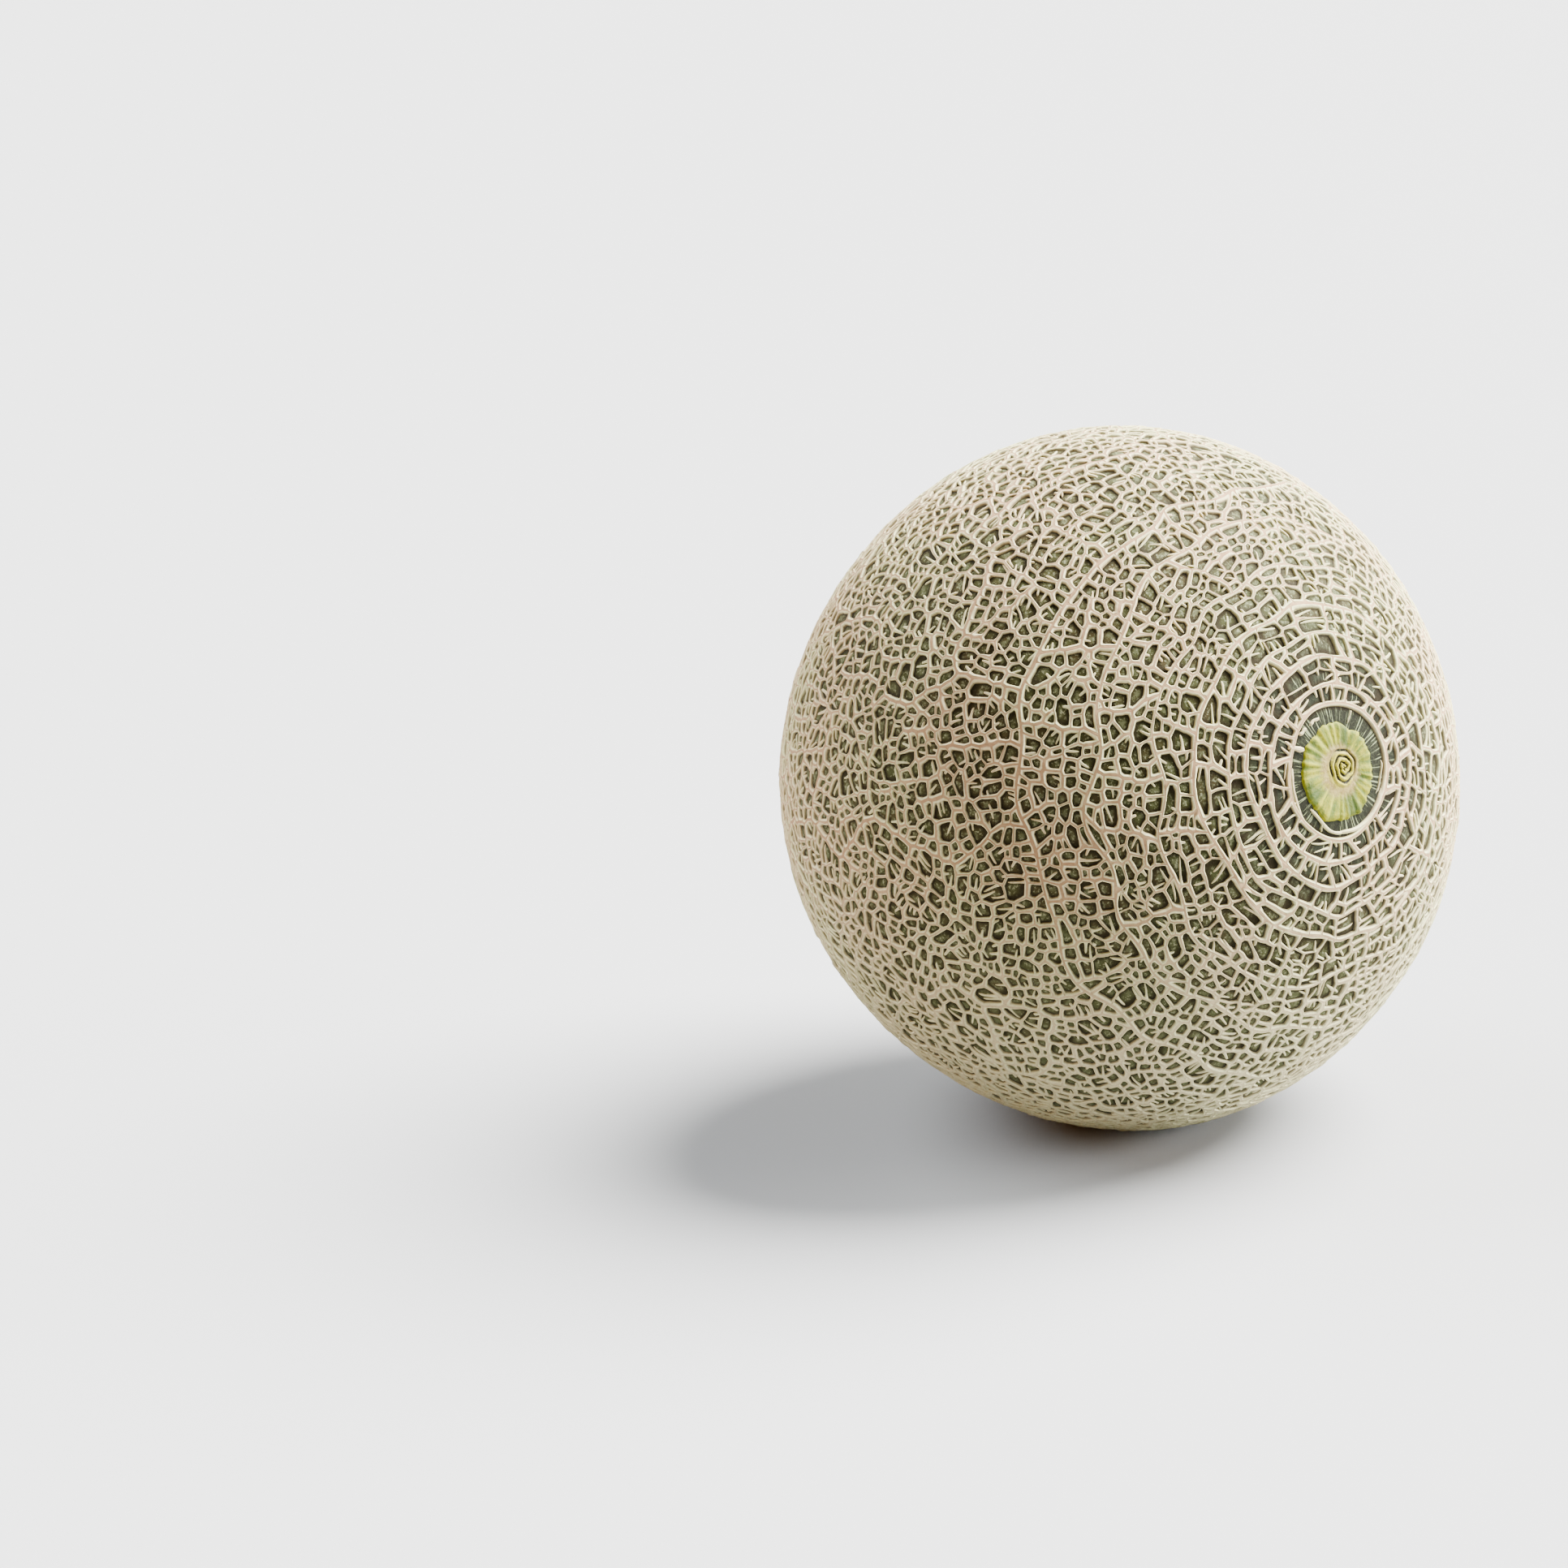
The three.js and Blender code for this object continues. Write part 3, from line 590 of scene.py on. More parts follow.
class Form:
    """The body of the melon: a spheroid that is widest a little nearer to the stem, uneven and slightly
    sunk at both ends, laid on its side and pressed flat where it rests."""

    def __init__(self, shape):
        self.radius = shape.girth / 2 - shape.net_height
        self.half_length = shape.length / 2
        self.shift = shape.widest_shift
        self.lump = shape.lump
        self.lumps = self.make_lumps()
        self.turn = Matrix.Rotation(math.pi / 2 - shape.stem_tilt, 3, "X")
        theta, phi = np.meshgrid(np.arange(1, 180) * DEG, np.arange(0, 360, 2) * DEG)
        lying = self.lay_down(self.standing(directions_at(theta, phi).reshape(-1, 3), 0))
        middle = (lying.min(0) + lying.max(0)) / 2
        self.lift = np.array([middle[0], middle[1], lying[:, 2].min() + shape.flat_depth])

    def make_lumps(self):
        draw = Draw(LUMP_SEED)
        least, most = LUMP_PITCH
        lumps = []
        for _ in range(LUMP_WAVES):
            way = unit((draw.spread(1), draw.spread(1), draw.spread(1)))
            pitch = least + (most - least) * draw.unit()
            lumps.append((np.array(way) * pitch, draw.unit() * ROUND))
        return lumps

    def standing(self, direction, height):
        """Places on the body with the stem up, for directions from its middle."""
        uneven = sum(np.sin(direction @ way + start) for way, start in self.lumps)
        x, y, z = direction.T
        nearest_end = np.arccos(np.minimum(1, np.abs(z)))
        dip = np.sign(z) * END_DIP * np.exp(-((nearest_end / END_DIP_SPAN) ** 2))
        length = self.half_length * z + self.shift * (x * x + y * y) - dip
        place = np.stack([self.radius * x, self.radius * y, length], 1)
        place *= (1 + self.lump * uneven / self.radius)[:, None]
        return place + self.outward(direction) * np.broadcast_to(height, z.shape)[:, None]

    def outward(self, direction):
        """The way straight out of the body."""
        out = direction / np.array([self.radius, self.radius, self.half_length])
        return out / np.linalg.norm(out, axis=1)[:, None]

    def lay_down(self, places):
        """Places turned from the stem up to the stem in front and tilted."""
        return places @ np.array(self.turn).T

    def at(self, direction, height):
        """Places on the lying melon, in the frame of the solid."""
        places = self.lay_down(self.standing(np.asarray(direction, float), height)) - self.lift
        places[:, 2] = np.maximum(0, places[:, 2])
        return places


def cord_widths(net, count):
    """Widths of the cords in the order in which they grew: the old ones are the strongest."""
    random = np.random.RandomState(net.seed)
    old = np.exp(-np.arange(count) / net.age_span)
    width = net.young_width + (net.old_width - net.young_width) * old
    return np.minimum(width * np.exp(random.normal(0, net.width_spread, count)), WIDEST_CORD)


class Melon:
    """The grown net with its sizes, and the form that it lies on."""

    def __init__(self, shape, net):
        self.form = Form(shape)
        self.mean_radius = shape.girth / 2
        step = net.cord_step / self.mean_radius
        grown = Net(net.seed, step, net.common_cell / self.mean_radius**2)
        rings = [grown.ring(theta * DEG, stray * DEG) for theta, stray in STEM_RINGS]
        foot = [grown.ring(math.pi - theta * DEG, stray * DEG) for theta, stray in BLOSSOM_RINGS]
        for k, bars in enumerate(STEM_BARS):
            grown.band(rings[k], rings[k + 1], bars)
        grown.band(rings[-1], foot[0], LONG_BARS)
        for k, bars in enumerate(BLOSSOM_BARS):
            grown.band(foot[k], foot[k + 1], bars)
        self.cells = grown.grow(net.cells)
        self.stem_loop = rings[0]
        self.blossom_loop = foot[-1][::-1]
        self.cord_width = cord_widths(net, len(grown.cords))
        self.owner = np.array(grown.owner)
        free = self.owner >= len(rings) + len(foot)
        points = relaxed(np.array(grown.points), grown.cords, self.cord_width, free)
        self.points = swayed(points, net.sway / self.mean_radius)
        self.size_points()

    def size_points(self):
        """How much thicker than its cord each point is, and how high it stands."""
        off_stem = np.clip((from_end(self.points) - THICK_FROM) / THICK_SPAN, 0, 1)
        bulges = 1 + BULGE * waves_over(self.points, BULGE_SEED, BULGE_WAVES)
        self.thick = (THICK_LEAST + THICK_GAIN * off_stem) * np.maximum(THINNEST, bulges)
        to_right = np.cos(round_axis(self.points[self.stem_loop]) + FIRST_RING_TURN)
        self.thick[self.stem_loop] = FIRST_RING_LEAST + FIRST_RING_GAIN * np.maximum(0, to_right) ** 2
        uneven = 1 + HEIGHT_UNEVEN * waves_over(self.points, HEIGHT_SEED, HEIGHT_WAVES)
        self.height = (HEIGHT_LEAST + HEIGHT_GAIN * self.cord_width[self.owner]) * uneven


@functools.lru_cache(maxsize=2)
def grown_melon(_key):
    """The melon for the settings that the key repeats."""
    settings = bpy.context.scene.melon
    return Melon(settings.shape, settings.net)


def current_melon():
    """The melon for the settings as they stand, grown once for all its pieces."""
    settings = bpy.context.scene.melon
    groups = (settings.shape, settings.net)
    return grown_melon(tuple(getattr(group, name) for group in groups for name in group.__annotations__))


class CellRows:
    """Cells with the same number of points, worked out together: where each row of their cords runs. A
    level is a distance from the nearest centre line, in half widths of its cord."""

    # Places that are tried along a ray, and each way across a cell to find its centre
    RAY_PLACES = 17
    CENTRE_PLACES = 9
    # The level to which a cell's centre is opened up, the level below which the cell closes instead, and
    # the least level that is told apart from 0
    OPEN = 1.45
    SHUT = 0.8
    LEAST_LEVEL = 1e-4
    # How sharp the corners between two cords are
    SHARPNESS = 5

    def __init__(self, melon, loops, pole=False):
        self.loops = np.array(loops)
        points = melon.points[self.loops]
        after = np.roll(points, -1, 1)
        middle = ((points + after) * np.linalg.norm(points - after, axis=2)[:, :, None]).sum(1)
        if pole:
            middle = np.array([[0, 0, np.sign(middle[0, 2])]])
        self.middle = middle / np.linalg.norm(middle, axis=1)[:, None]
        ahead = np.array([[1.0, 0, 0]]) if pole else np.cross([0, 0, 1], self.middle)
        self.east = ahead / np.linalg.norm(ahead, axis=1)[:, None]
        self.north = np.cross(self.middle, self.east)
        self.flat = self.lay(points)
        owner = melon.owner[self.loops]
        cord = np.maximum(owner, np.roll(owner, -1, 1))
        thick = melon.thick[self.loops]
        thick = (thick + np.roll(thick, -1, 1)) / 2
        self.halves = melon.cord_width[cord] * thick / 2 / melon.mean_radius
        self.centre = np.zeros((len(self.loops), 2)) if pole else self.find_centre()
        self.open_up()

    def lay(self, points):
        """Directions laid flat round the middles of their cells."""
        flat = np.stack([np.einsum("mnk,mk->mn", points, axis) for axis in (self.east, self.north)], 2)
        reach = np.linalg.norm(flat, axis=2)
        angle = np.arctan2(reach, np.einsum("mnk,mk->mn", points, self.middle))
        return flat * (angle / np.maximum(reach, TINY))[:, :, None]

    def raised(self, flat):
        """The directions of places in the flat cells."""
        angle = np.linalg.norm(flat, axis=2)[:, :, None]
        share = np.sinc(angle / math.pi)
        way = flat[:, :, :1] * self.east[:, None] + flat[:, :, 1:] * self.north[:, None]
        return self.middle[:, None] * np.cos(angle) + way * share

    def level(self, places):
        """The levels of places, with the corners rounded off."""
        a = self.flat[:, None]
        side = np.roll(self.flat, -1, 1)[:, None] - a
        off = places[:, :, None] - a
        share = (off * side).sum(3) / np.maximum((side * side).sum(3), TINY)
        off = off - side * np.clip(share, 0, 1)[..., None]
        ratio = np.linalg.norm(off, axis=3) / self.halves[:, None]
        return (np.maximum(ratio, self.LEAST_LEVEL) ** -self.SHARPNESS).sum(2) ** (-1 / self.SHARPNESS)

    def inside(self, places):
        """Whether places lie inside the outlines."""
        a = self.flat[:, None]
        b = np.roll(self.flat, -1, 1)[:, None]
        x, y = places[:, :, None, 0], places[:, :, None, 1]
        spans = (a[..., 1] > y) != (b[..., 1] > y)
        rise = np.where(spans, b[..., 1] - a[..., 1], 1)
        meets = a[..., 0] + (y - a[..., 1]) / rise * (b[..., 0] - a[..., 0])
        return (spans & (x < meets)).sum(2) % 2 == 1

    def find_centre(self):
        """The place in each cell that lies the furthest from all its cords."""
        low, high = self.flat.min(1), self.flat.max(1)
        steps = (np.arange(self.CENTRE_PLACES) + 0.5) / self.CENTRE_PLACES
        grid = np.stack(np.meshgrid(steps, steps), -1).reshape(-1, 2)
        places = low[:, None] + grid * (high - low)[:, None]
        level = np.where(self.inside(places), self.level(places), 0)
        return places[np.arange(len(places)), level.argmax(1)]

    def open_up(self):
        """Narrows the cords round a cell that they would close, but lets them close the smallest ones."""
        level = self.level(self.centre[:, None])[:, 0]
        self.shut = level < self.SHUT
        self.halves *= np.minimum(1, level / self.OPEN)[:, None]
        self.room = (level / np.minimum(1, level / self.OPEN) - 1) * self.halves.mean(1)

    def rows(self, levels):
        """Where the rays from the centre to the outline cross each level: levels, cells, points, x and y."""
        shares = np.linspace(0, 1, self.RAY_PLACES)
        ray = self.flat - self.centre[:, None]
        field = np.stack([self.level(self.centre[:, None] + ray * share) for share in shares])
        out = []
        for level, plate in zip(levels, PLATE_ROWS):
            below = field < level
            below[-1] = True
            k = np.maximum(1, below.argmax(0))
            here = np.take_along_axis(field, k[None], 0)[0]
            before = np.take_along_axis(field, k[None] - 1, 0)[0]
            part = np.clip((before - level) / np.maximum(before - here, TINY), 0, 1)
            share = np.where(self.shut[:, None], plate, (k - 1 + part) / (self.RAY_PLACES - 1))
            out.append(self.centre[:, None] + ray * share[..., None])
        return out


def unit_rows(vectors):
    """The same vectors, each 1 long."""
    return vectors / np.maximum(np.linalg.norm(vectors, axis=-1, keepdims=True), TINY)


def left_of(vectors):
    """Flat vectors turned a quarter to the left."""
    return np.stack([-vectors[..., 1], vectors[..., 0]], -1)


class Spurs:
    """The spurs in cells that have been worked out together: each leaves the side squarely and stops in
    the open, often beside the one before it."""

    # Shares of the way across a cell at which a spur looks for room, and a place that no spur comes near
    STEPS = np.linspace(0.08, 1, 14)
    NOWHERE = 9.0

    def __init__(self, rows, random, radius):
        self.rows = rows
        self.random = random
        self.radius = radius
        self.count, self.around = rows.loops.shape
        self.cells = []
        self.lines = []
        least, most = SPUR_ROOM
        chance = np.clip((rows.room * radius / MM - least) / (most - least), 0, SPUR_CHANCE)
        root = random.randint(0, self.around, self.count)
        busy = np.zeros((self.count, 0, 2))
        for _ in range(SPUR_TRIES):
            beside = random.uniform(size=self.count) < SPUR_BESIDE
            other = random.randint(0, self.around, self.count)
            root = np.where(beside, root + random.randint(1, 3, self.count), other) % self.around
            line, good = self.grow(root)
            if busy.shape[1]:
                apart = np.linalg.norm(line[:, :, None] - busy[:, None], axis=3).min((1, 2))
                good &= apart > SPUR_APART / radius
            good &= random.uniform(size=self.count) < chance
            line[~good] = self.NOWHERE
            busy = np.concatenate([busy, line], 1)
            self.cells.append(np.nonzero(good)[0])
            self.lines.append(line[good])
        self.cells = np.concatenate(self.cells)
        self.lines = np.concatenate(self.lines)

    def grow(self, root):
        """One line from the outline inwards in each cell, and whether it has room."""
        rows, random = self.rows, self.random
        every = np.arange(self.count)
        start = rows.flat[every, root]
        side = rows.flat[every, (root + 1) % self.around] - rows.flat[every, root - 1]
        inward = unit_rows(left_of(side)) + SPUR_INWARD * unit_rows(rows.centre - start)
        angle = np.arctan2(inward[:, 1], inward[:, 0]) + random.normal(0, SPUR_TURN, self.count)
        way = np.stack([np.cos(angle), np.sin(angle)], 1)
        bend = random.normal(0, SPUR_BEND, self.count)
        far = SPUR_FAR * np.linalg.norm(rows.centre - start, axis=1)

        def at(share):
            along_way = (share * far[:, None])[..., None] * way[:, None]
            aside = (share**2 * (bend * far)[:, None])[..., None] * left_of(way)[:, None]
            return start[:, None] + along_way + aside

        places = at(self.STEPS[None])
        level = rows.level(places)
        level[~rows.inside(places)] = 0
        foot = (level > 1).argmax(1)
        beyond = np.arange(len(self.STEPS)) > foot[:, None]
        least = 1 + SPUR_GAP / self.radius / rows.halves.mean(1)
        ends = beyond & (level < least[:, None])
        last = np.where(ends.any(1), ends.argmax(1) - 1, len(self.STEPS) - 1)
        tip = self.STEPS[last] * np.minimum(1, random.uniform(*SPUR_LENGTHS, self.count))
        first = self.STEPS[foot] * SPUR_ROOT
        good = (level > 1).any(1) & ((tip - self.STEPS[foot]) * far > SPUR_LEAST / self.radius)
        shares = first[:, None] + (tip - first)[:, None] * np.linspace(0, 1, len(SPUR_WIDTH))
        return at(shares), good


def by_count(loops):
    """The loops in groups with the same number of points."""
    groups = {}
    for loop in loops:
        groups.setdefault(len(loop), []).append(loop)
    return groups.values()


def add_piece(name, points, faces, form, attributes, material):
    """A mesh object that rides on the melon's body, with its attributes, UV map and material."""
    mesh = bpy.data.meshes.new(name)
    mesh.from_pydata(points.tolist(), [], faces)
    mesh.shade_smooth()
    for key, values in attributes.items():
        mesh.attributes.new(key, "FLOAT", "POINT").data.foreach_set("value", np.asarray(values, np.float32))
    add_bake_map(mesh, form)
    mesh.materials.append(material)
    piece = bpy.data.objects.new(name, mesh)
    bpy.context.scene.collection.objects.link(piece)
    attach(piece, BODY)
    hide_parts(NODE)
    return piece


def add_bake_map(mesh, form):
    """A UV map with the six sides of a cube, onto which the round surface is thrown from its middle."""
    places = np.empty(len(mesh.vertices) * 3)
    mesh.vertices.foreach_get("co", places)
    direction = places.reshape(-1, 3) + [form.lift[0], form.lift[1], 0]
    direction[:, 2] -= form.radius
    corner = np.empty(len(mesh.loops), int)
    mesh.loops.foreach_get("vertex_index", corner)
    total = np.empty(len(mesh.polygons), int)
    mesh.polygons.foreach_get("loop_total", total)
    face = np.repeat(np.arange(len(total)), total)
    middle = np.stack([np.bincount(face, direction[corner, k]) for k in range(3)], 1)
    axis = np.abs(middle).argmax(1)
    sign = np.sign(middle[np.arange(len(axis)), axis])
    axis, sign = axis[face], sign[face]
    rows = np.arange(len(corner))
    spread = direction[corner]
    depth = spread[rows, axis] * sign
    u = np.arctan2(spread[rows, (axis + 1) % 3] * sign, depth) / (math.pi / 2)
    v = np.arctan2(spread[rows, (axis + 2) % 3], depth) / (math.pi / 2)
    chart = axis + np.where(sign > 0, 0, 3)
    uv = np.stack([(chart % 3 + 0.5 + CHART_SHARE * u) / 3, (chart // 3 + 0.5 + CHART_SHARE * v) / 2], 1)
    mesh.uv_layers.new(name="OFBake").data.foreach_set("uv", uv.astype(np.float32).ravel())


# Pieces

def net_zone(melon, loops, name, material):
    """One zone of the net: each cell brings the half of every cord that faces it."""
    used = np.unique(np.concatenate(loops))
    crest = np.full(len(melon.points), -1)
    crest[used] = np.arange(len(used))
    points = [melon.form.at(melon.points[used], melon.height[used] * CREST_SHARE)]
    across = [np.zeros(len(used))]
    wide = [melon.cord_width[melon.owner[used]]]
    faces = []
    first = len(used)
    for group in by_count(loops):
        cap = len(group) == 1 and group[0] in (melon.stem_loop, melon.blossom_loop)
        rows = CellRows(melon, group, pole=cap)
        count, around = rows.loops.shape
        height = melon.height[rows.loops]
        row = crest[rows.loops]
        for (level, share), flat in zip(CORD_ROWS, rows.rows([level for level, _ in CORD_ROWS])):
            share = np.where(rows.shut, CREST_SHARE, share)[:, None]
            rise = height * share - FOOT_SUNK * (1 - share)
            points.append(melon.form.at(rows.raised(flat).reshape(-1, 3), rise.ravel()))
            across.append(np.full(count * around, level))
            wide.append(melon.cord_width[melon.owner[rows.loops]].ravel())
            inner = np.arange(first, first + count * around).reshape(count, around)
            first += count * around
            quads = np.stack([row, np.roll(row, -1, 1), np.roll(inner, -1, 1), inner], 2)
            faces += quads.reshape(-1, 4).tolist()
            row = inner
    attributes = {"across": np.concatenate(across), "wide": np.concatenate(wide) / MM}
    return add_piece(name, np.concatenate(points), faces, melon.form, attributes, material)


def make_net(melon, material):
    """The net in four zones from the stem to the other end, each under the limit on faces."""
    loops = sorted(melon.cells, key=lambda loop: -melon.points[loop, 2].mean())
    share = math.ceil(len(loops) / len(NET_ZONES))
    zones = [loops[k * share : (k + 1) * share] for k in range(len(NET_ZONES))]
    zones[0].insert(0, melon.stem_loop)
    zones[-1].append(melon.blossom_loop)
    return [net_zone(melon, zone, name, material) for zone, name in zip(zones, NET_ZONES)]


class Ridges:
    """Thin cords that lie on the skin, gathered into one piece."""

    def __init__(self, melon):
        self.form = melon.form
        self.points = []
        self.faces = []
        self.across = []
        self.first = 0

    def add(self, lines, half, height):
        """Lines of directions with the same number of points each, their half widths as angles, and
        their heights."""
        count, length = lines.shape[:2]
        side = unit_rows(np.cross(lines, np.gradient(lines, axis=1))) * half[..., None]
        shape = np.stack([lines + side * place for place, _, _ in RIDGE], 2)
        rise = np.stack([height * share - FOOT_SUNK * (1 - share) for _, _, share in RIDGE], 2)
        self.points.append(self.form.at(unit_rows(shape).reshape(-1, 3), rise.ravel()))
        self.across.append(np.tile([level for _, level, _ in RIDGE], count * length))
        grid = self.first + np.arange(count * length * len(RIDGE)).reshape(count, length, len(RIDGE))
        quads = np.stack([grid[:, :-1, :-1], grid[:, :-1, 1:], grid[:, 1:, 1:], grid[:, 1:, :-1]], 3)
        self.faces += quads.reshape(-1, 4)[:, ::-1].tolist()
        self.first += grid.size

    def finish(self, name, material):
        attributes = {"across": np.concatenate(self.across), "wide": np.full(self.first, RIDGE_WIDE)}
        return add_piece(name, np.concatenate(self.points), self.faces, self.form, attributes, material)


def make_spurs(melon, material):
    """The spurs of all cells."""
    random = np.random.RandomState(SPUR_SEED)
    ridges = Ridges(melon)
    for group in by_count(melon.cells):
        rows = CellRows(melon, group)
        spurs = Spurs(rows, random, melon.mean_radius)
        count = len(spurs.cells)
        if not count:
            continue
        middle, east, north = (axis[spurs.cells][:, None] for axis in (rows.middle, rows.east, rows.north))
        angle = np.linalg.norm(spurs.lines, axis=2)[..., None]
        way = spurs.lines[..., :1] * east + spurs.lines[..., 1:] * north
        lines = middle * np.cos(angle) + way * np.sinc(angle / math.pi)
        size = random.uniform(*SPUR_SIZES, (count, 1))
        half = SPUR_HALF / melon.mean_radius * size * SPUR_WIDTH
        ridges.add(lines, half, SPUR_HEIGHT * size**0.5 * SPUR_RISE)
    return ridges.finish("net_spurs", material)


def make_moat_cords(melon, material):
    """The loose arcs and bars between the stem scar and the first ring of the net."""
    ridges = Ridges(melon)
    share = np.linspace(0, 1, MOAT_POINTS)
    ease = share * share * (3 - 2 * share)
    left, growth = MOAT_TAPER
    ends = np.minimum(1, np.minimum(share, 1 - share) * growth + left)
    for k, ((first_angle, first_radius), (last_angle, last_radius), width) in enumerate(MOAT_CORDS):
        phi = (first_angle + (last_angle - first_angle) * share) * DEG
        sway = MOAT_SWAY[0] * np.sin(MOAT_SWAY[1] * share + 2 * k)
        radius = first_radius + (last_radius - first_radius) * ease + sway
        line = directions_at(np.arcsin(radius * MM / melon.form.radius), phi)
        swell = 1 + MOAT_SWELL[0] * np.sin(MOAT_SWELL[1] * share + k)
        half = width / 2 * MM / melon.mean_radius * ends**0.5 * swell
        height = (MOAT_HEIGHT[0] + MOAT_HEIGHT[1] * width) * MM * ends
        ridges.add(line[None], half[None], height[None])
    return ridges.finish("stem_cords", material)


def ripples(phi, counts, seed):
    """A sum of waves round a scar, about -1 to 1."""
    random = np.random.RandomState(seed)
    return sum(np.sin(count * phi + random.uniform(0, ROUND)) for count in counts) / len(counts) ** 0.5


def profile(places, rows):
    """Values at places, between rows that give a place and its value."""
    return np.interp(places, *zip(*rows))


def scar_piece(name, melon, side, flat, height, attributes, material):
    """A round scar from rows of places in its own plane, in millimetres, the first row at its rim."""
    rows, around = height.shape
    reach = np.linalg.norm(flat, axis=2) * MM
    theta = np.arcsin(reach / melon.form.radius)
    phi = np.arctan2(flat[..., 1], flat[..., 0])
    points = melon.form.at(directions_at(theta, phi, side).reshape(-1, 3), height.ravel() * MM)
    grid = np.arange(rows * around).reshape(rows, around)
    nearer = np.roll(grid, -1, 1)
    quads = np.stack([grid[:-1], nearer[:-1], nearer[1:], grid[1:]], 2).reshape(-1, 4)
    if side < 0:
        quads = quads[:, ::-1]
    faces = quads.tolist() + [(grid[-1] if side > 0 else grid[-1, ::-1]).tolist()]
    flattened = {key: values.ravel() for key, values in attributes.items()}
    return add_piece(name, points, faces, melon.form, flattened, material)


def spiral_core(flat):
    """How high the ridges of the stem scar's core stand, and the share of its depth that the crevice has."""
    x, y = flat[..., 0] - CORE_OFFSET[0], flat[..., 1] - CORE_OFFSET[1]
    away = np.hypot(x, y)
    turn = np.arctan2(y, x)
    spiral = turn / ROUND - away / CORE_PITCH
    for reach, waves, start in CORE_SWAYS:
        spiral = spiral + reach * np.sin(waves * turn + start)
    wave = np.cos(ROUND * spiral)
    core = profile(away, CORE_ROWS)
    mean, reach, waves, outwards = CREVICE_BREAKS
    broken = mean + reach * np.sin(waves * turn + outwards * away)
    crevice = np.clip((-wave - CREVICE_FROM) / CREVICE_SPAN, 0, 1) * core * broken
    return CORE_RIDGE * wave * core, crevice


def make_stem_scar(melon, rim, material):
    """The disc that the stem left: a folded yellow-green rim round a knot with a spiral crevice."""
    phi = np.arange(STEM_SCAR_AROUND)[None] / STEM_SCAR_AROUND * ROUND
    reach = STEM_SCAR_STEPS[:, None]
    folds = ripples(phi, *FOLD_RIPPLES)
    edge = rim + STEM_EDGE * ripples(phi, *STEM_EDGE_RIPPLES) + FOLD_EDGE * folds
    inner = (1 - reach) ** CORE_PULL
    flat = np.stack([edge * reach * np.cos(phi) + CORE_OFFSET[0] * inner,
                     edge * reach * np.sin(phi) + CORE_OFFSET[1] * inner], 2)
    ridges, crevice = spiral_core(flat)
    folded = profile(reach, STEM_SCAR_ROWS) + folds * profile(reach, FOLD_ROWS)
    height = folded + ridges - CREVICE_DEPTH * crevice
    whole = np.ones_like(height)
    attributes = {"reach": reach * whole, "crevice": crevice, "fold": folds * whole,
                  "round_x": np.cos(phi) * whole, "round_y": np.sin(phi) * whole}
    return scar_piece("stem_scar", melon, 1, flat, height, attributes, material)


def make_blossom_scar(melon, rim, material):
    """The small corky button at the other end."""
    phi = np.arange(BLOSSOM_SCAR_AROUND)[None] / BLOSSOM_SCAR_AROUND * ROUND
    reach = BLOSSOM_SCAR_STEPS[:, None]
    edge = rim + BLOSSOM_EDGE * ripples(phi, *BLOSSOM_EDGE_RIPPLES)
    flat = np.stack([edge * reach * np.cos(phi), edge * reach * np.sin(phi)], 2)
    lumps = ripples(phi, *BLOSSOM_LUMP_RIPPLES) * profile(reach, BLOSSOM_LUMP_ROWS)
    height = profile(reach, BLOSSOM_SCAR_ROWS) + lumps
    attributes = {"reach": reach * np.ones_like(height)}
    return scar_piece("blossom_scar", melon, -1, flat, height, attributes, material)


def cap_fan(melon, loop, side, first):
    """The skin inside the innermost ring of the net, in rows from the ring to the middle."""
    ring = melon.points[loop]
    phi = round_axis(ring)
    reach = from_end(ring, side)
    points, faces = [], []
    before = np.array(loop)
    for k in range(1, CAP_ROWS):
        points.append(directions_at(reach * (1 - k / CAP_ROWS), phi, side))
        inner = first + np.arange((k - 1) * len(loop), k * len(loop))
        faces += np.stack([before, np.roll(before, -1), np.roll(inner, -1), inner], 1).tolist()
        before = inner
    points.append(np.array([[0, 0, side]]))
    middle = first + (CAP_ROWS - 1) * len(loop)
    faces += [[a, b, middle] for a, b in zip(before, np.roll(before, -1))]
    return np.concatenate(points), faces


def make_skin(melon, material):
    """The skin between the cords and under them, as one closed sheet: a low cushion in each cell."""
    random = np.random.RandomState(SKIN_SEED)
    centres, faces, tone = [], [], []
    first = len(melon.points)
    for group in by_count(melon.cells):
        rows = CellRows(melon, group)
        centres.append(rows.raised(rows.centre[:, None])[:, 0])
        middle = first + np.arange(len(group))
        first += len(group)
        fans = [rows.loops, np.roll(rows.loops, -1, 1), np.broadcast_to(middle[:, None], rows.loops.shape)]
        faces += np.stack(fans, 2).reshape(-1, 3).tolist()
        tone.append(random.uniform(0, 1, len(group)))
    centres = np.concatenate(centres)
    directions = [melon.points, centres]
    heights = [np.full(len(melon.points), -SKIN_SUNK), np.full(len(centres), SKIN_RISE)]
    depth = [np.zeros(len(melon.points)), np.ones(len(centres))]
    tones = [np.full(len(melon.points), MEAN_TONE), *tone]
    for loop, side in ((melon.stem_loop, 1), (melon.blossom_loop, -1)):
        points, fan = cap_fan(melon, loop, side, sum(len(part) for part in directions))
        directions.append(points)
        faces += fan
        heights.append(np.zeros(len(points)))
        depth.append(np.full(len(points), CAP_DEPTH))
        tones.append(np.full(len(points), CAP_TONE))
    directions = np.concatenate(directions)
    points = melon.form.at(directions, np.concatenate(heights))
    attributes = {
        "depth": np.concatenate(depth),
        "tone": np.concatenate(tones),
        **round_the_stem(directions),
    }
    return add_piece("skin", points, faces, melon.form, attributes, material)


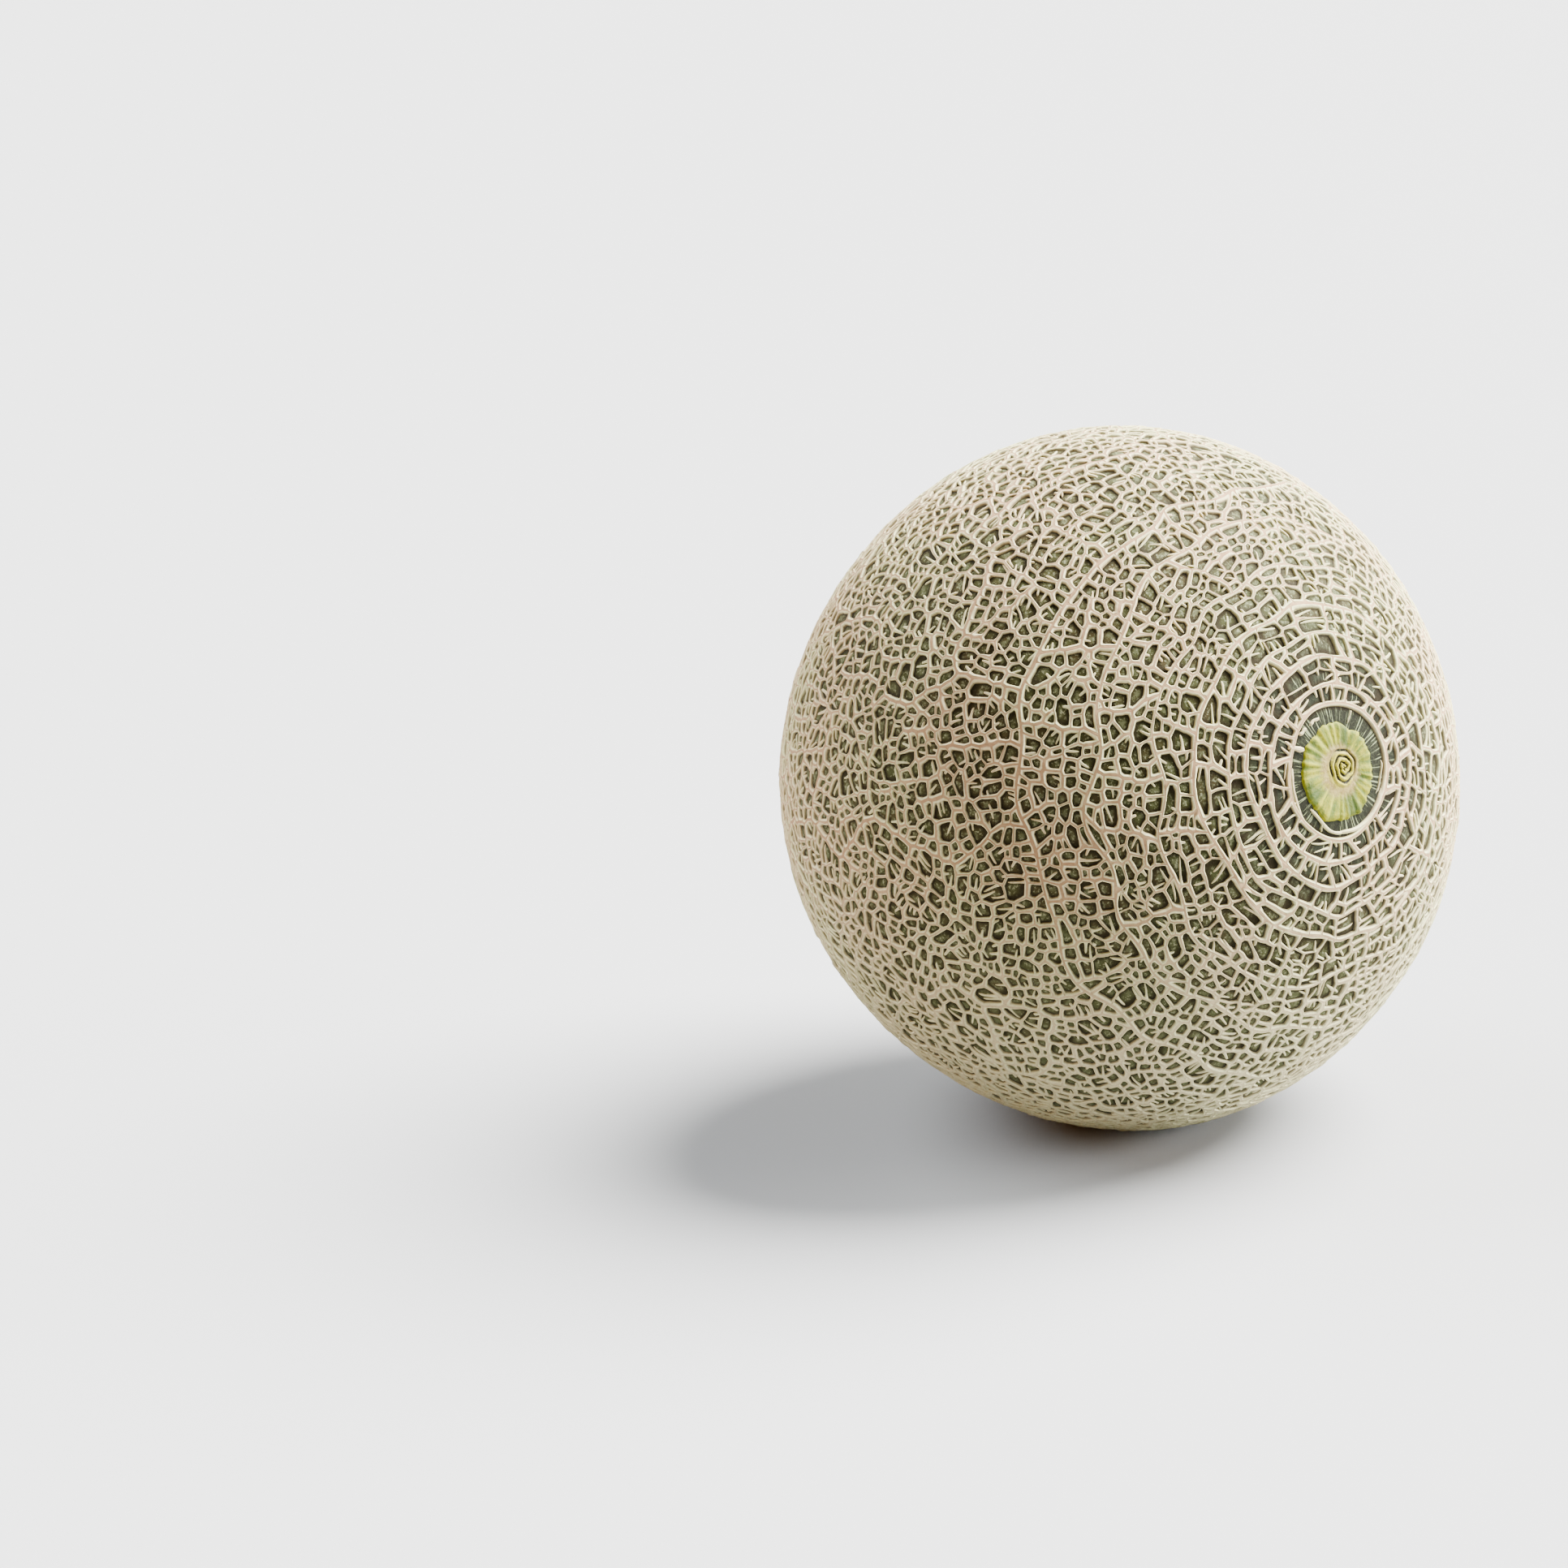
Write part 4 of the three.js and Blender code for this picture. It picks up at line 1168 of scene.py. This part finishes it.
def round_the_stem(directions):
    """Where each point lies as seen from the stem: how far away, and in which direction."""
    phi = round_axis(directions)
    return {"from_stem": from_end(directions), "round_x": np.cos(phi), "round_y": np.sin(phi)}


# Materials

class Wire:
    """A shader socket that takes part in sums: 1 - mask adds the Math node that it needs."""

    def __init__(self, shader, socket):
        self.shader = shader
        self.socket = socket

    def math(self, operation, *values):
        return self.shader.node("ShaderNodeMath", {"operation": operation}, dict(enumerate(values)))

    def __add__(self, other):
        return self.math("ADD", self, other)

    def __radd__(self, other):
        return self.math("ADD", other, self)

    def __sub__(self, other):
        return self.math("SUBTRACT", self, other)

    def __rsub__(self, other):
        return self.math("SUBTRACT", other, self)

    def __mul__(self, other):
        return self.math("MULTIPLY", self, other)

    def __rmul__(self, other):
        return self.math("MULTIPLY", other, self)

    def step(self, low, high):
        """0 below low, 1 above high and smooth between them."""
        settings = {"interpolation_type": "SMOOTHSTEP"}
        return self.shader.node("ShaderNodeMapRange", settings, {0: self, 1: low, 2: high})


class Shader:
    """A material under construction."""

    def __init__(self, name):
        self.material = bpy.data.materials.new(name)
        self.material.use_nodes = True
        self.tree = self.material.node_tree
        self.surface = self.tree.nodes["Principled BSDF"]

    def node(self, kind, settings, inputs, output=0):
        """Any node: its settings first, then the values or links of its sockets."""
        made = self.tree.nodes.new(kind)
        for key, value in settings.items():
            setattr(made, key, value)
        for key, value in inputs.items():
            if isinstance(value, Wire):
                self.tree.links.new(value.socket, made.inputs[key])
            else:
                made.inputs[key].default_value = value
        return Wire(self, made.outputs[output])

    def attribute(self, name):
        return self.node("ShaderNodeAttribute", {"attribute_name": name}, {}, "Fac")

    def place(self):
        return self.node("ShaderNodeTexCoord", {}, {}, "Object")

    def underside(self, place):
        """1 low down, where the skin and cork are painted paler, and 0 above: partly the spot where the
        fruit lay and partly painted light from the floor.
        """
        height = self.node("ShaderNodeSeparateXYZ", {}, {0: place}, "Z")
        ragged = (self.noise(place, 30 * MM) - 0.5) * UNDERSIDE_RAGGED
        return 1 - (height + ragged).step(*UNDERSIDE)

    def noise(self, vector, size, detail=3.0, roughness=0.55):
        """Noise about 0.5, whose patches are about size metres across."""
        inputs = {"Vector": vector, "Scale": 1 / size, "Detail": detail, "Roughness": roughness}
        return self.node("ShaderNodeTexNoise", {}, inputs, "Fac")

    def round_stem(self, away):
        """Places in which noise runs in streaks away from the stem; away is how far off each lies. Noise
        there is sized in radians round the stem."""
        inputs = {"X": self.attribute("round_x"), "Y": self.attribute("round_y"), "Z": away * STREAK_STRETCH}
        return self.node("ShaderNodeCombineXYZ", {}, inputs)

    def mix(self, share, one, other):
        """A colour between two others, which the node takes at its sockets 6 and 7."""
        inputs = {0: share, 6: colour(one), 7: colour(other)}
        return self.node("ShaderNodeMix", {"data_type": "RGBA"}, inputs, 2)

    def finish(self, base, roughness, bumps, specular):
        """Links the surface up. Bumps are heights with their distance and strength, the coarsest first."""
        normal = None
        for height, distance, strength in bumps:
            inputs = {"Height": height, "Distance": distance, "Strength": strength}
            if normal is not None:
                inputs["Normal"] = normal
            normal = self.node("ShaderNodeBump", {}, inputs)
        for socket, wire in (("Base Color", base), ("Roughness", roughness), ("Normal", normal)):
            self.tree.links.new(wire.socket, self.surface.inputs[socket])
        self.surface.inputs["Specular IOR Level"].default_value = specular
        return self.material


def colour(value):
    """A colour with its alpha, from three numbers; links are passed on."""
    return value if isinstance(value, Wire) else (*value[:3], 1.0)


def net_material(colours):
    """Dry cork: a pinkish line along the middle of each cord between two pale lips."""
    shader = Shader("net cork")
    place = shader.place()
    across = shader.attribute("across")
    patches = shader.noise(place, 22 * MM, 2)
    mottle = shader.noise(place, 2.2 * MM, 3)
    grain = shader.noise(place, 0.5 * MM, 3, 0.65)
    wide = shader.attribute("wide").step(0.9, 1.6)
    middle = 1 - across.step(0.28, 0.5)
    # The foot of each cord, where it sinks into the skin; darkening it paints the shade in that crease
    foot = across.step(0.75, 0.95)
    pale = shader.mix(patches.step(0.36, 0.64), colours.lip_green, colours.lip_pink)
    pale = shader.mix(mottle.step(0.35, 0.7) * 0.5, pale, colours.lip_light)
    tint = shader.mix(middle * (0.65 + 0.1 * wide + 0.35 * mottle), pale, colours.centre_line)
    # Paler towards the bottom: partly the ground spot and partly painted light from the floor
    tint = shader.mix(shader.underside(place) * 0.65, tint, colours.lip_light)
    # Painted shade: the foot of each cord darkened in the crease where it meets the skin
    tint = shader.mix(foot * 0.8, tint, colours.foot)
    tint = shader.mix(grain.step(0.45, 0.75) * 0.35, tint, colours.foot)
    bumps = ((1 - middle, 0.2 * MM, 0.6), (mottle, 0.18 * MM, 0.6), (grain, 0.08 * MM, 0.8))
    return shader.finish(tint, 0.75 + 0.2 * mottle, bumps, specular=0.15)


def skin_material(colours):
    """Waxy green skin: dark along the cords, partly its own colour and partly painted shade, flecked in the
    cells, slate and streaked round the stem.
    """
    shader = Shader("skin")
    place = shader.place()
    depth = shader.attribute("depth")
    tone = shader.attribute("tone")
    from_stem = shader.attribute("from_stem")
    round_stem = shader.round_stem(from_stem)
    streaks = shader.noise(round_stem, 0.05, 3, 0.6)
    hairs = shader.noise(round_stem, 0.028, 2, 0.5)
    mottle = shader.noise(place, 1.1 * MM, 3, 0.7)
    flecks = shader.noise(place, 0.55 * MM, 2, 0.6)
    patches = shader.noise(place, 28 * MM, 2)
    grain = shader.noise(place, 0.3 * MM, 2)
    green = shader.mix((tone * 0.6 + patches * 0.5).step(0.35, 0.75), colours.skin_brown, colours.skin_green)
    # Mottle and flecks paler towards each cell's middle: partly the skin's own colour and partly painted
    # light against the shade along the cords
    green = shader.mix((mottle * (0.5 + 0.6 * depth)).step(0.4, 0.54) * 0.7, green, colours.skin_light)
    green = shader.mix(flecks.step(0.56, 0.62) * depth * 0.75, green, colours.skin_fleck)
    at_stem = 1 - from_stem.step(13 * DEG, 30 * DEG)
    slate = shader.mix(streaks.step(0.5, 0.75) * 0.15, colours.skin_slate, colours.skin_streak)
    slate = shader.mix(hairs.step(0.6, 0.64), slate, colours.skin_streak)
    tint = shader.mix(at_stem * 0.9, green, slate)
    # Paler towards the bottom: partly the ground spot and partly painted light from the floor
    tint = shader.mix(shader.underside(place) * 0.5, tint, colours.skin_light)
    # Painted shade that the cords cast on the skin, over its own darker colour there: near black where depth
    # is low
    tint = shader.mix((1 - depth.step(0.3, 0.75)) * 0.85, tint, colours.skin_edge_and_shade)
    bumps = ((mottle, 0.25 * MM, 0.6), (grain, 0.05 * MM, 0.6))
    return shader.finish(tint, 0.6 + 0.2 * mottle + 0.1 * at_stem, bumps, specular=0.03)


def stem_scar_material(colours):
    """Fresh yellow-green folds, a beige ring inside them, and a yellow knot whose crevices are painted near
    black as shade.
    """
    shader = Shader("stem scar")
    place = shader.place()
    reach = shader.attribute("reach")
    fold = shader.attribute("fold")
    crevice = shader.attribute("crevice")
    streaks = shader.noise(shader.round_stem(reach), 0.11, 3, 0.6)
    blotches = shader.noise(place, 6 * MM, 2)
    mottle = shader.noise(place, 1.2 * MM, 3, 0.65)
    grain = shader.noise(place, 0.4 * MM, 2)
    green = shader.mix(streaks.step(0.36, 0.64), colours.scar_green, colours.scar_yellow)
    green = shader.mix(fold.step(0.2, 1.2) * 0.5, green, colours.scar_pale)
    green = shader.mix(blotches.step(0.47, 0.62) * 0.8, green, colours.scar_deep)
    green = shader.mix(reach.step(0.92, 0.99) * 0.4, green, colours.scar_pale)
    beige = shader.mix(mottle.step(0.35, 0.65), colours.scar_beige, colours.scar_tan)
    tint = shader.mix((reach + (streaks - 0.5) * 0.3).step(0.42, 0.62), beige, green)
    knot = 1 - (reach + (mottle - 0.5) * 0.12).step(0.3, 0.42)
    tint = shader.mix(knot * 0.85, tint, colours.scar_knot)
    tint = shader.mix(mottle.step(0.6, 0.75) * 0.35, tint, colours.scar_pale)
    # Painted shade: near black in the crevices between the knot's ridges
    tint = shader.mix(crevice.step(0.02, 0.32), tint, colours.scar_crevice_shade)
    bumps = ((mottle, 0.3 * MM, 0.6), (grain, 0.08 * MM, 0.7))
    return shader.finish(tint, 0.6 + 0.25 * mottle, bumps, specular=0.15)


def blossom_scar_material(colours):
    """Brown cork, darker in the middle."""
    shader = Shader("blossom scar")
    place = shader.place()
    reach = shader.attribute("reach")
    mottle = shader.noise(place, 1.2 * MM, 3, 0.65)
    grain = shader.noise(place, 0.3 * MM, 2)
    tint = shader.mix(mottle.step(0.35, 0.65) * 0.7, colours.centre_line, colours.foot)
    tint = shader.mix((1 - (reach + mottle * 0.2).step(0.2, 0.4)) * 0.8, tint, colours.foot)
    tint = shader.mix(grain.step(0.5, 0.75) * 0.4, tint, colours.foot)
    bumps = ((mottle, 0.3 * MM, 0.7), (grain, 0.08 * MM, 0.8))
    return shader.finish(tint, 0.7 + 0.2 * mottle, bumps, specular=0.25)


# Stage

def stage_material(name, tint, glow=0.0):
    """A plain dull paint, which also glows evenly where glow isn't 0."""
    material = bpy.data.materials.new(name)
    material.use_nodes = True
    surface = material.node_tree.nodes["Principled BSDF"]
    surface.inputs["Base Color"].default_value = colour(tint)
    surface.inputs["Roughness"].default_value = PAINT_ROUGHNESS
    surface.inputs["Specular IOR Level"].default_value = PAINT_SPECULAR
    surface.inputs["Emission Color"].default_value = colour(WHITE)
    surface.inputs["Emission Strength"].default_value = glow
    return material


def stage_piece(name, corners, faces, material):
    """A mesh object of the stage, which is no part of the melon."""
    mesh = bpy.data.meshes.new(name)
    mesh.from_pydata(corners, [], faces)
    mesh.materials.append(material)
    piece = bpy.data.objects.new(name, mesh)
    bpy.context.scene.collection.objects.link(piece)
    return piece


def make_floor(tint):
    reach = FLOOR_REACH
    corners = [(-reach, -reach, 0), (reach, -reach, 0), (reach, reach, 0), (-reach, reach, 0)]
    return stage_piece("floor", corners, [(0, 1, 2, 3)], stage_material("floor paint", tint))


def make_backdrop(glow):
    """A pale wall all round, nearly as bright as the floor. It takes no part in lighting the melon."""
    turns = [k * ROUND / WALL_SIDES for k in range(WALL_SIDES)]
    foot = [(math.cos(turn) * FLOOR_REACH, math.sin(turn) * FLOOR_REACH) for turn in turns]
    corners = [(x, y, z) for z in (0, WALL_HEIGHT) for x, y in foot]
    sides = [(k, (k + 1) % WALL_SIDES) for k in range(WALL_SIDES)]
    faces = [(left, right, right + WALL_SIDES, left + WALL_SIDES) for left, right in sides]
    wall = stage_piece("backdrop", corners, faces, stage_material("backdrop paint", BLACK, glow))
    wall.visible_diffuse = False
    wall.visible_glossy = False
    wall.visible_shadow = False
    return wall


def view_way(azimuth, elevation):
    """From the melon towards a place round it: azimuth 0 is in front of the stem end."""
    level = math.cos(elevation)
    return Vector((math.sin(azimuth) * level, -math.cos(azimuth) * level, math.sin(elevation)))


def make_lamp(name, place, camera_azimuth, strength, tint=WHITE):
    """An even light from one side, as soft as a sky panel of that width."""
    aside, elevation, softness = (degrees * DEG for degrees in place)
    light = bpy.data.lights.new(name, "SUN")
    light.angle = softness
    light.energy = strength
    light.color = tint
    lamp = bpy.data.objects.new(name, light)
    lamp.rotation_mode = "QUATERNION"
    lamp.rotation_quaternion = view_way(camera_azimuth + aside, elevation).to_track_quat("Z", "Y")
    bpy.context.scene.collection.objects.link(lamp)
    return lamp


def make_world(strength):
    """The same white light from every side."""
    world = bpy.data.worlds.new("studio air")
    world.use_nodes = True
    background = world.node_tree.nodes["Background"]
    background.inputs["Color"].default_value = colour(WHITE)
    background.inputs["Strength"].default_value = strength
    bpy.context.scene.world = world


def make_camera(stage, target):
    """The photograph's camera: its optical axis passes to the left of the melon."""
    data = bpy.data.cameras.new("camera")
    data.lens = stage.lens
    data.sensor_width = SENSOR
    camera = bpy.data.objects.new("camera", data)
    way = view_way(stage.azimuth, stage.elevation)
    focal = stage.lens / SENSOR * IMAGE_SIZE
    aside = math.atan((stage.melon_x - IMAGE_SIZE / 2) / focal)
    down = math.atan((stage.melon_y - IMAGE_SIZE / 2) / focal)
    turn = Matrix.Rotation(aside, 4, "Y") @ Matrix.Rotation(down, 4, "X")
    camera.matrix_world = (
        Matrix.Translation(target + way * stage.distance)
        @ way.to_track_quat("Z", "Y").to_matrix().to_4x4()
        @ turn
    )
    bpy.context.scene.collection.objects.link(camera)
    bpy.context.scene.camera = camera
    return camera


# Settings

def number_setting(name, description, default, **more):
    return FloatProperty(name=name, description=description, default=default, **more)


def length_setting(name, description, default):
    return number_setting(name, description, default, unit="LENGTH", precision=5)


def angle_setting(name, description, degrees):
    return number_setting(name, description, degrees * DEG, subtype="ANGLE")


def colour_setting(name, description, default):
    return FloatVectorProperty(
        name=name, description=description, default=default, size=3, subtype="COLOR", min=0, max=1)


class MelonShape(bpy.types.PropertyGroup):
    girth: length_setting("Girth", "Across the widest ring, with the net", 0.15)
    length: length_setting("Length", "From the stem scar to the blossom scar", 0.137)
    widest_shift: length_setting(
        "Widest shift", "From the middle to the widest ring, towards the stem", 0.006)
    flat_depth: length_setting("Flat depth", "What the resting spot takes off the underside", 0.0015)
    lump: length_setting("Lump", "Height of each slow wave of the uneven skin", 0.00022)
    net_height: length_setting("Net height", "From the skin to the solid's highest cords", 0.0014)
    stem_tilt: angle_setting("Stem tilt", "Of the stem end above the level", 12)
    stem_scar: length_setting("Stem scar", "Across the disc that the stem left", 0.02)
    blossom_scar: length_setting("Blossom scar", "Across the disc at the other end", 0.007)


class MelonNet(bpy.types.PropertyGroup):
    seed: IntProperty(name="Seed", description="Of every draw of the net", default=41, min=1)
    cells: IntProperty(name="Cells", description="How many cells the net splits into", default=6700, min=100)
    cord_step: length_setting("Step", "Between the points of a cord", 0.0009)
    common_cell: number_setting(
        "Common cell", "Area that a cell splits towards", 9.1e-6, unit="AREA", precision=8)
    sway: length_setting("Sway", "How far the whole net is pushed to and fro", 0.0003)
    old_width: length_setting("Old cord", "Width of the first cords", 0.0013)
    young_width: length_setting("Young cord", "Width of the last cords", 0.0008)
    age_span: number_setting("Age span", "Cords until the width has mostly fallen", 400.0)
    width_spread: number_setting("Width spread", "How unlike the cords are", 0.24)


class MelonColours(bpy.types.PropertyGroup):
    lip_light: colour_setting("Lip, light", "Palest cork", (0.47, 0.45, 0.265))
    lip_green: colour_setting("Lip, greenish", "Cork with a touch of green", (0.4, 0.385, 0.185))
    lip_pink: colour_setting("Lip, pinkish", "Cork with a touch of pink", (0.42, 0.33, 0.175))
    centre_line: colour_setting("Centre line", "Along the middle of wide cords", (0.2, 0.11, 0.055))
    # Dark brown: the cork's own colour in its grain and the blossom scar, and painted shade at the foot of
    # each cord
    foot: colour_setting("Foot", "Where a cord meets the skin", (0.084, 0.063, 0.029))
    skin_green: colour_setting("Skin, green", "Middle of the greener cells", (0.027, 0.029, 0.009))
    skin_brown: colour_setting("Skin, brown", "Middle of the duller cells", (0.031, 0.024, 0.009))
    skin_light: colour_setting("Skin, light", "Pale mottling in the cells", (0.066, 0.071, 0.034))
    skin_fleck: colour_setting("Skin, fleck", "Palest flecks in the cells", (0.17, 0.173, 0.1))
    # Near black along the cords: partly the skin's own colour and partly painted shade from the cords
    skin_edge_and_shade: colour_setting("Skin, edge", "Along the cords", (0.01, 0.007, 0.0028))
    skin_slate: colour_setting("Skin, slate", "Round the stem", (0.006, 0.007, 0.0048))
    skin_streak: colour_setting("Skin, streak", "Pale streaks round the stem", (0.15, 0.17, 0.09))
    scar_green: colour_setting("Scar, green", "Folds of the stem scar", (0.043, 0.066, 0.0006))
    scar_yellow: colour_setting("Scar, yellow", "Yellow streaks of the folds", (0.15, 0.145, 0.001))
    scar_pale: colour_setting("Scar, pale", "Tops of the folds and the margin", (0.21, 0.21, 0.006))
    scar_deep: colour_setting("Scar, deep", "Green blotches", (0.017, 0.035, 0.001))
    scar_beige: colour_setting("Scar, beige", "Ring inside the folds", (0.2, 0.155, 0.045))
    scar_tan: colour_setting("Scar, tan", "Darker spots of that ring", (0.12, 0.082, 0.018))
    scar_knot: colour_setting("Scar, knot", "Ridges of the core", (0.23, 0.205, 0.01))
    # Near black: painted shade in the crevices of the core
    scar_crevice_shade: colour_setting("Scar, crevice", "Between the ridges of the core", (0.014, 0.012, 0.002))


class MelonStage(bpy.types.PropertyGroup):
    floor: colour_setting("Floor", "Plain pale floor", (0.235, 0.235, 0.232))
    backdrop: number_setting("Backdrop", "How bright the wall all round is", 3.35)
    air: number_setting("Air", "Strength of the even light all round", 0.035)
    key: number_setting("Key", "Strength of the light from the right", 54.0)
    rim: number_setting("Rim", "Strength of the cool light from the far left", 10.0)
    side: number_setting("Side", "Strength of the low light from the right", 24.0)
    bounce: number_setting("Bounce", "Strength of the warm light from the left", 2.4)
    warm: colour_setting("Warm", "Colour of the light from the left", (1.0, 0.5, 0.16))
    cool: colour_setting("Cool", "Colour of the light from the far left", (0.88, 0.93, 1.0))
    azimuth: angle_setting("Azimuth", "Of the camera, from in front of the stem end", -44)
    elevation: angle_setting("Elevation", "Of the camera, above the level", 15)
    distance: length_setting("Distance", "From the camera to the melon's middle", 0.79)
    lens: number_setting("Lens", "Focal length in millimetres", 85.0)
    melon_x: number_setting("Melon x", "Pixel of the melon's middle, from the left", 1365.0)
    melon_y: number_setting("Melon y", "Pixel of the melon's middle, from the top", 945.0)


class MelonSettings(bpy.types.PropertyGroup):
    shape: PointerProperty(type=MelonShape)
    net: PointerProperty(type=MelonNet)
    colours: PointerProperty(type=MelonColours)
    stage: PointerProperty(type=MelonStage)


# Operators

class MELON_OT_skin(bpy.types.Operator):
    """Makes the skin between the cords of the net"""

    bl_idname = "melon.skin"
    bl_label = "Skin"

    def execute(self, context):
        make_skin(current_melon(), skin_material(context.scene.melon.colours))
        return {"FINISHED"}


class MELON_OT_net(bpy.types.Operator):
    """Makes the corky net in zones, its spurs, and the loose cords round the stem scar"""

    bl_idname = "melon.net"
    bl_label = "Net"

    def execute(self, context):
        material = net_material(context.scene.melon.colours)
        make_net(current_melon(), material)
        make_spurs(current_melon(), material)
        make_moat_cords(current_melon(), material)
        return {"FINISHED"}


class MELON_OT_scars(bpy.types.Operator):
    """Makes the scars that the stem and the blossom left"""

    bl_idname = "melon.scars"
    bl_label = "Scars"

    def execute(self, context):
        shape, colours = context.scene.melon.shape, context.scene.melon.colours
        make_stem_scar(current_melon(), shape.stem_scar / 2 / MM, stem_scar_material(colours))
        make_blossom_scar(current_melon(), shape.blossom_scar / 2 / MM, blossom_scar_material(colours))
        return {"FINISHED"}


class MELON_OT_stage(bpy.types.Operator):
    """Makes the floor, the wall round it, the lamps, the air and the camera"""

    bl_idname = "melon.stage"
    bl_label = "Stage"

    def execute(self, context):
        stage = context.scene.melon.stage
        make_floor(stage.floor)
        make_backdrop(stage.backdrop)
        make_world(stage.air)
        make_lamp("key", KEY_LAMP, stage.azimuth, stage.key)
        make_lamp("rim", RIM_LAMP, stage.azimuth, stage.rim, stage.cool)
        make_lamp("side", SIDE_LAMP, stage.azimuth, stage.side)
        make_lamp("bounce", BOUNCE_LAMP, stage.azimuth, stage.bounce, stage.warm)
        make_camera(stage, (CAD_LOW + CAD_HIGH) / 2)
        return {"FINISHED"}


class MELON_PT_sidebar(bpy.types.Panel):
    """Lists the pieces and their settings"""

    bl_idname = "MELON_PT_sidebar"
    bl_label = "Netted Melon"
    bl_space_type = "VIEW_3D"
    bl_region_type = "UI"
    bl_category = "Melon"

    def draw(self, context):
        settings = context.scene.melon
        for operator in OPERATORS:
            self.layout.operator(operator.bl_idname)
        for group in (settings.shape, settings.net, settings.colours, settings.stage):
            box = self.layout.box()
            for name in group.__annotations__:
                box.prop(group, name)


GROUPS = (MelonShape, MelonNet, MelonColours, MelonStage, MelonSettings)
OPERATORS = (MELON_OT_stage, MELON_OT_skin, MELON_OT_net, MELON_OT_scars)


def register():
    for kind in (*GROUPS, *OPERATORS, MELON_PT_sidebar):
        bpy.utils.register_class(kind)
    bpy.types.Scene.melon = PointerProperty(type=MelonSettings)


def unregister():
    del bpy.types.Scene.melon
    for kind in reversed((*GROUPS, *OPERATORS, MELON_PT_sidebar)):
        bpy.utils.unregister_class(kind)


def main():
    register()
    bpy.ops.melon.stage()
    bpy.ops.melon.skin()
    bpy.ops.melon.net()
    bpy.ops.melon.scars()


if __name__ == "__main__":
    main()
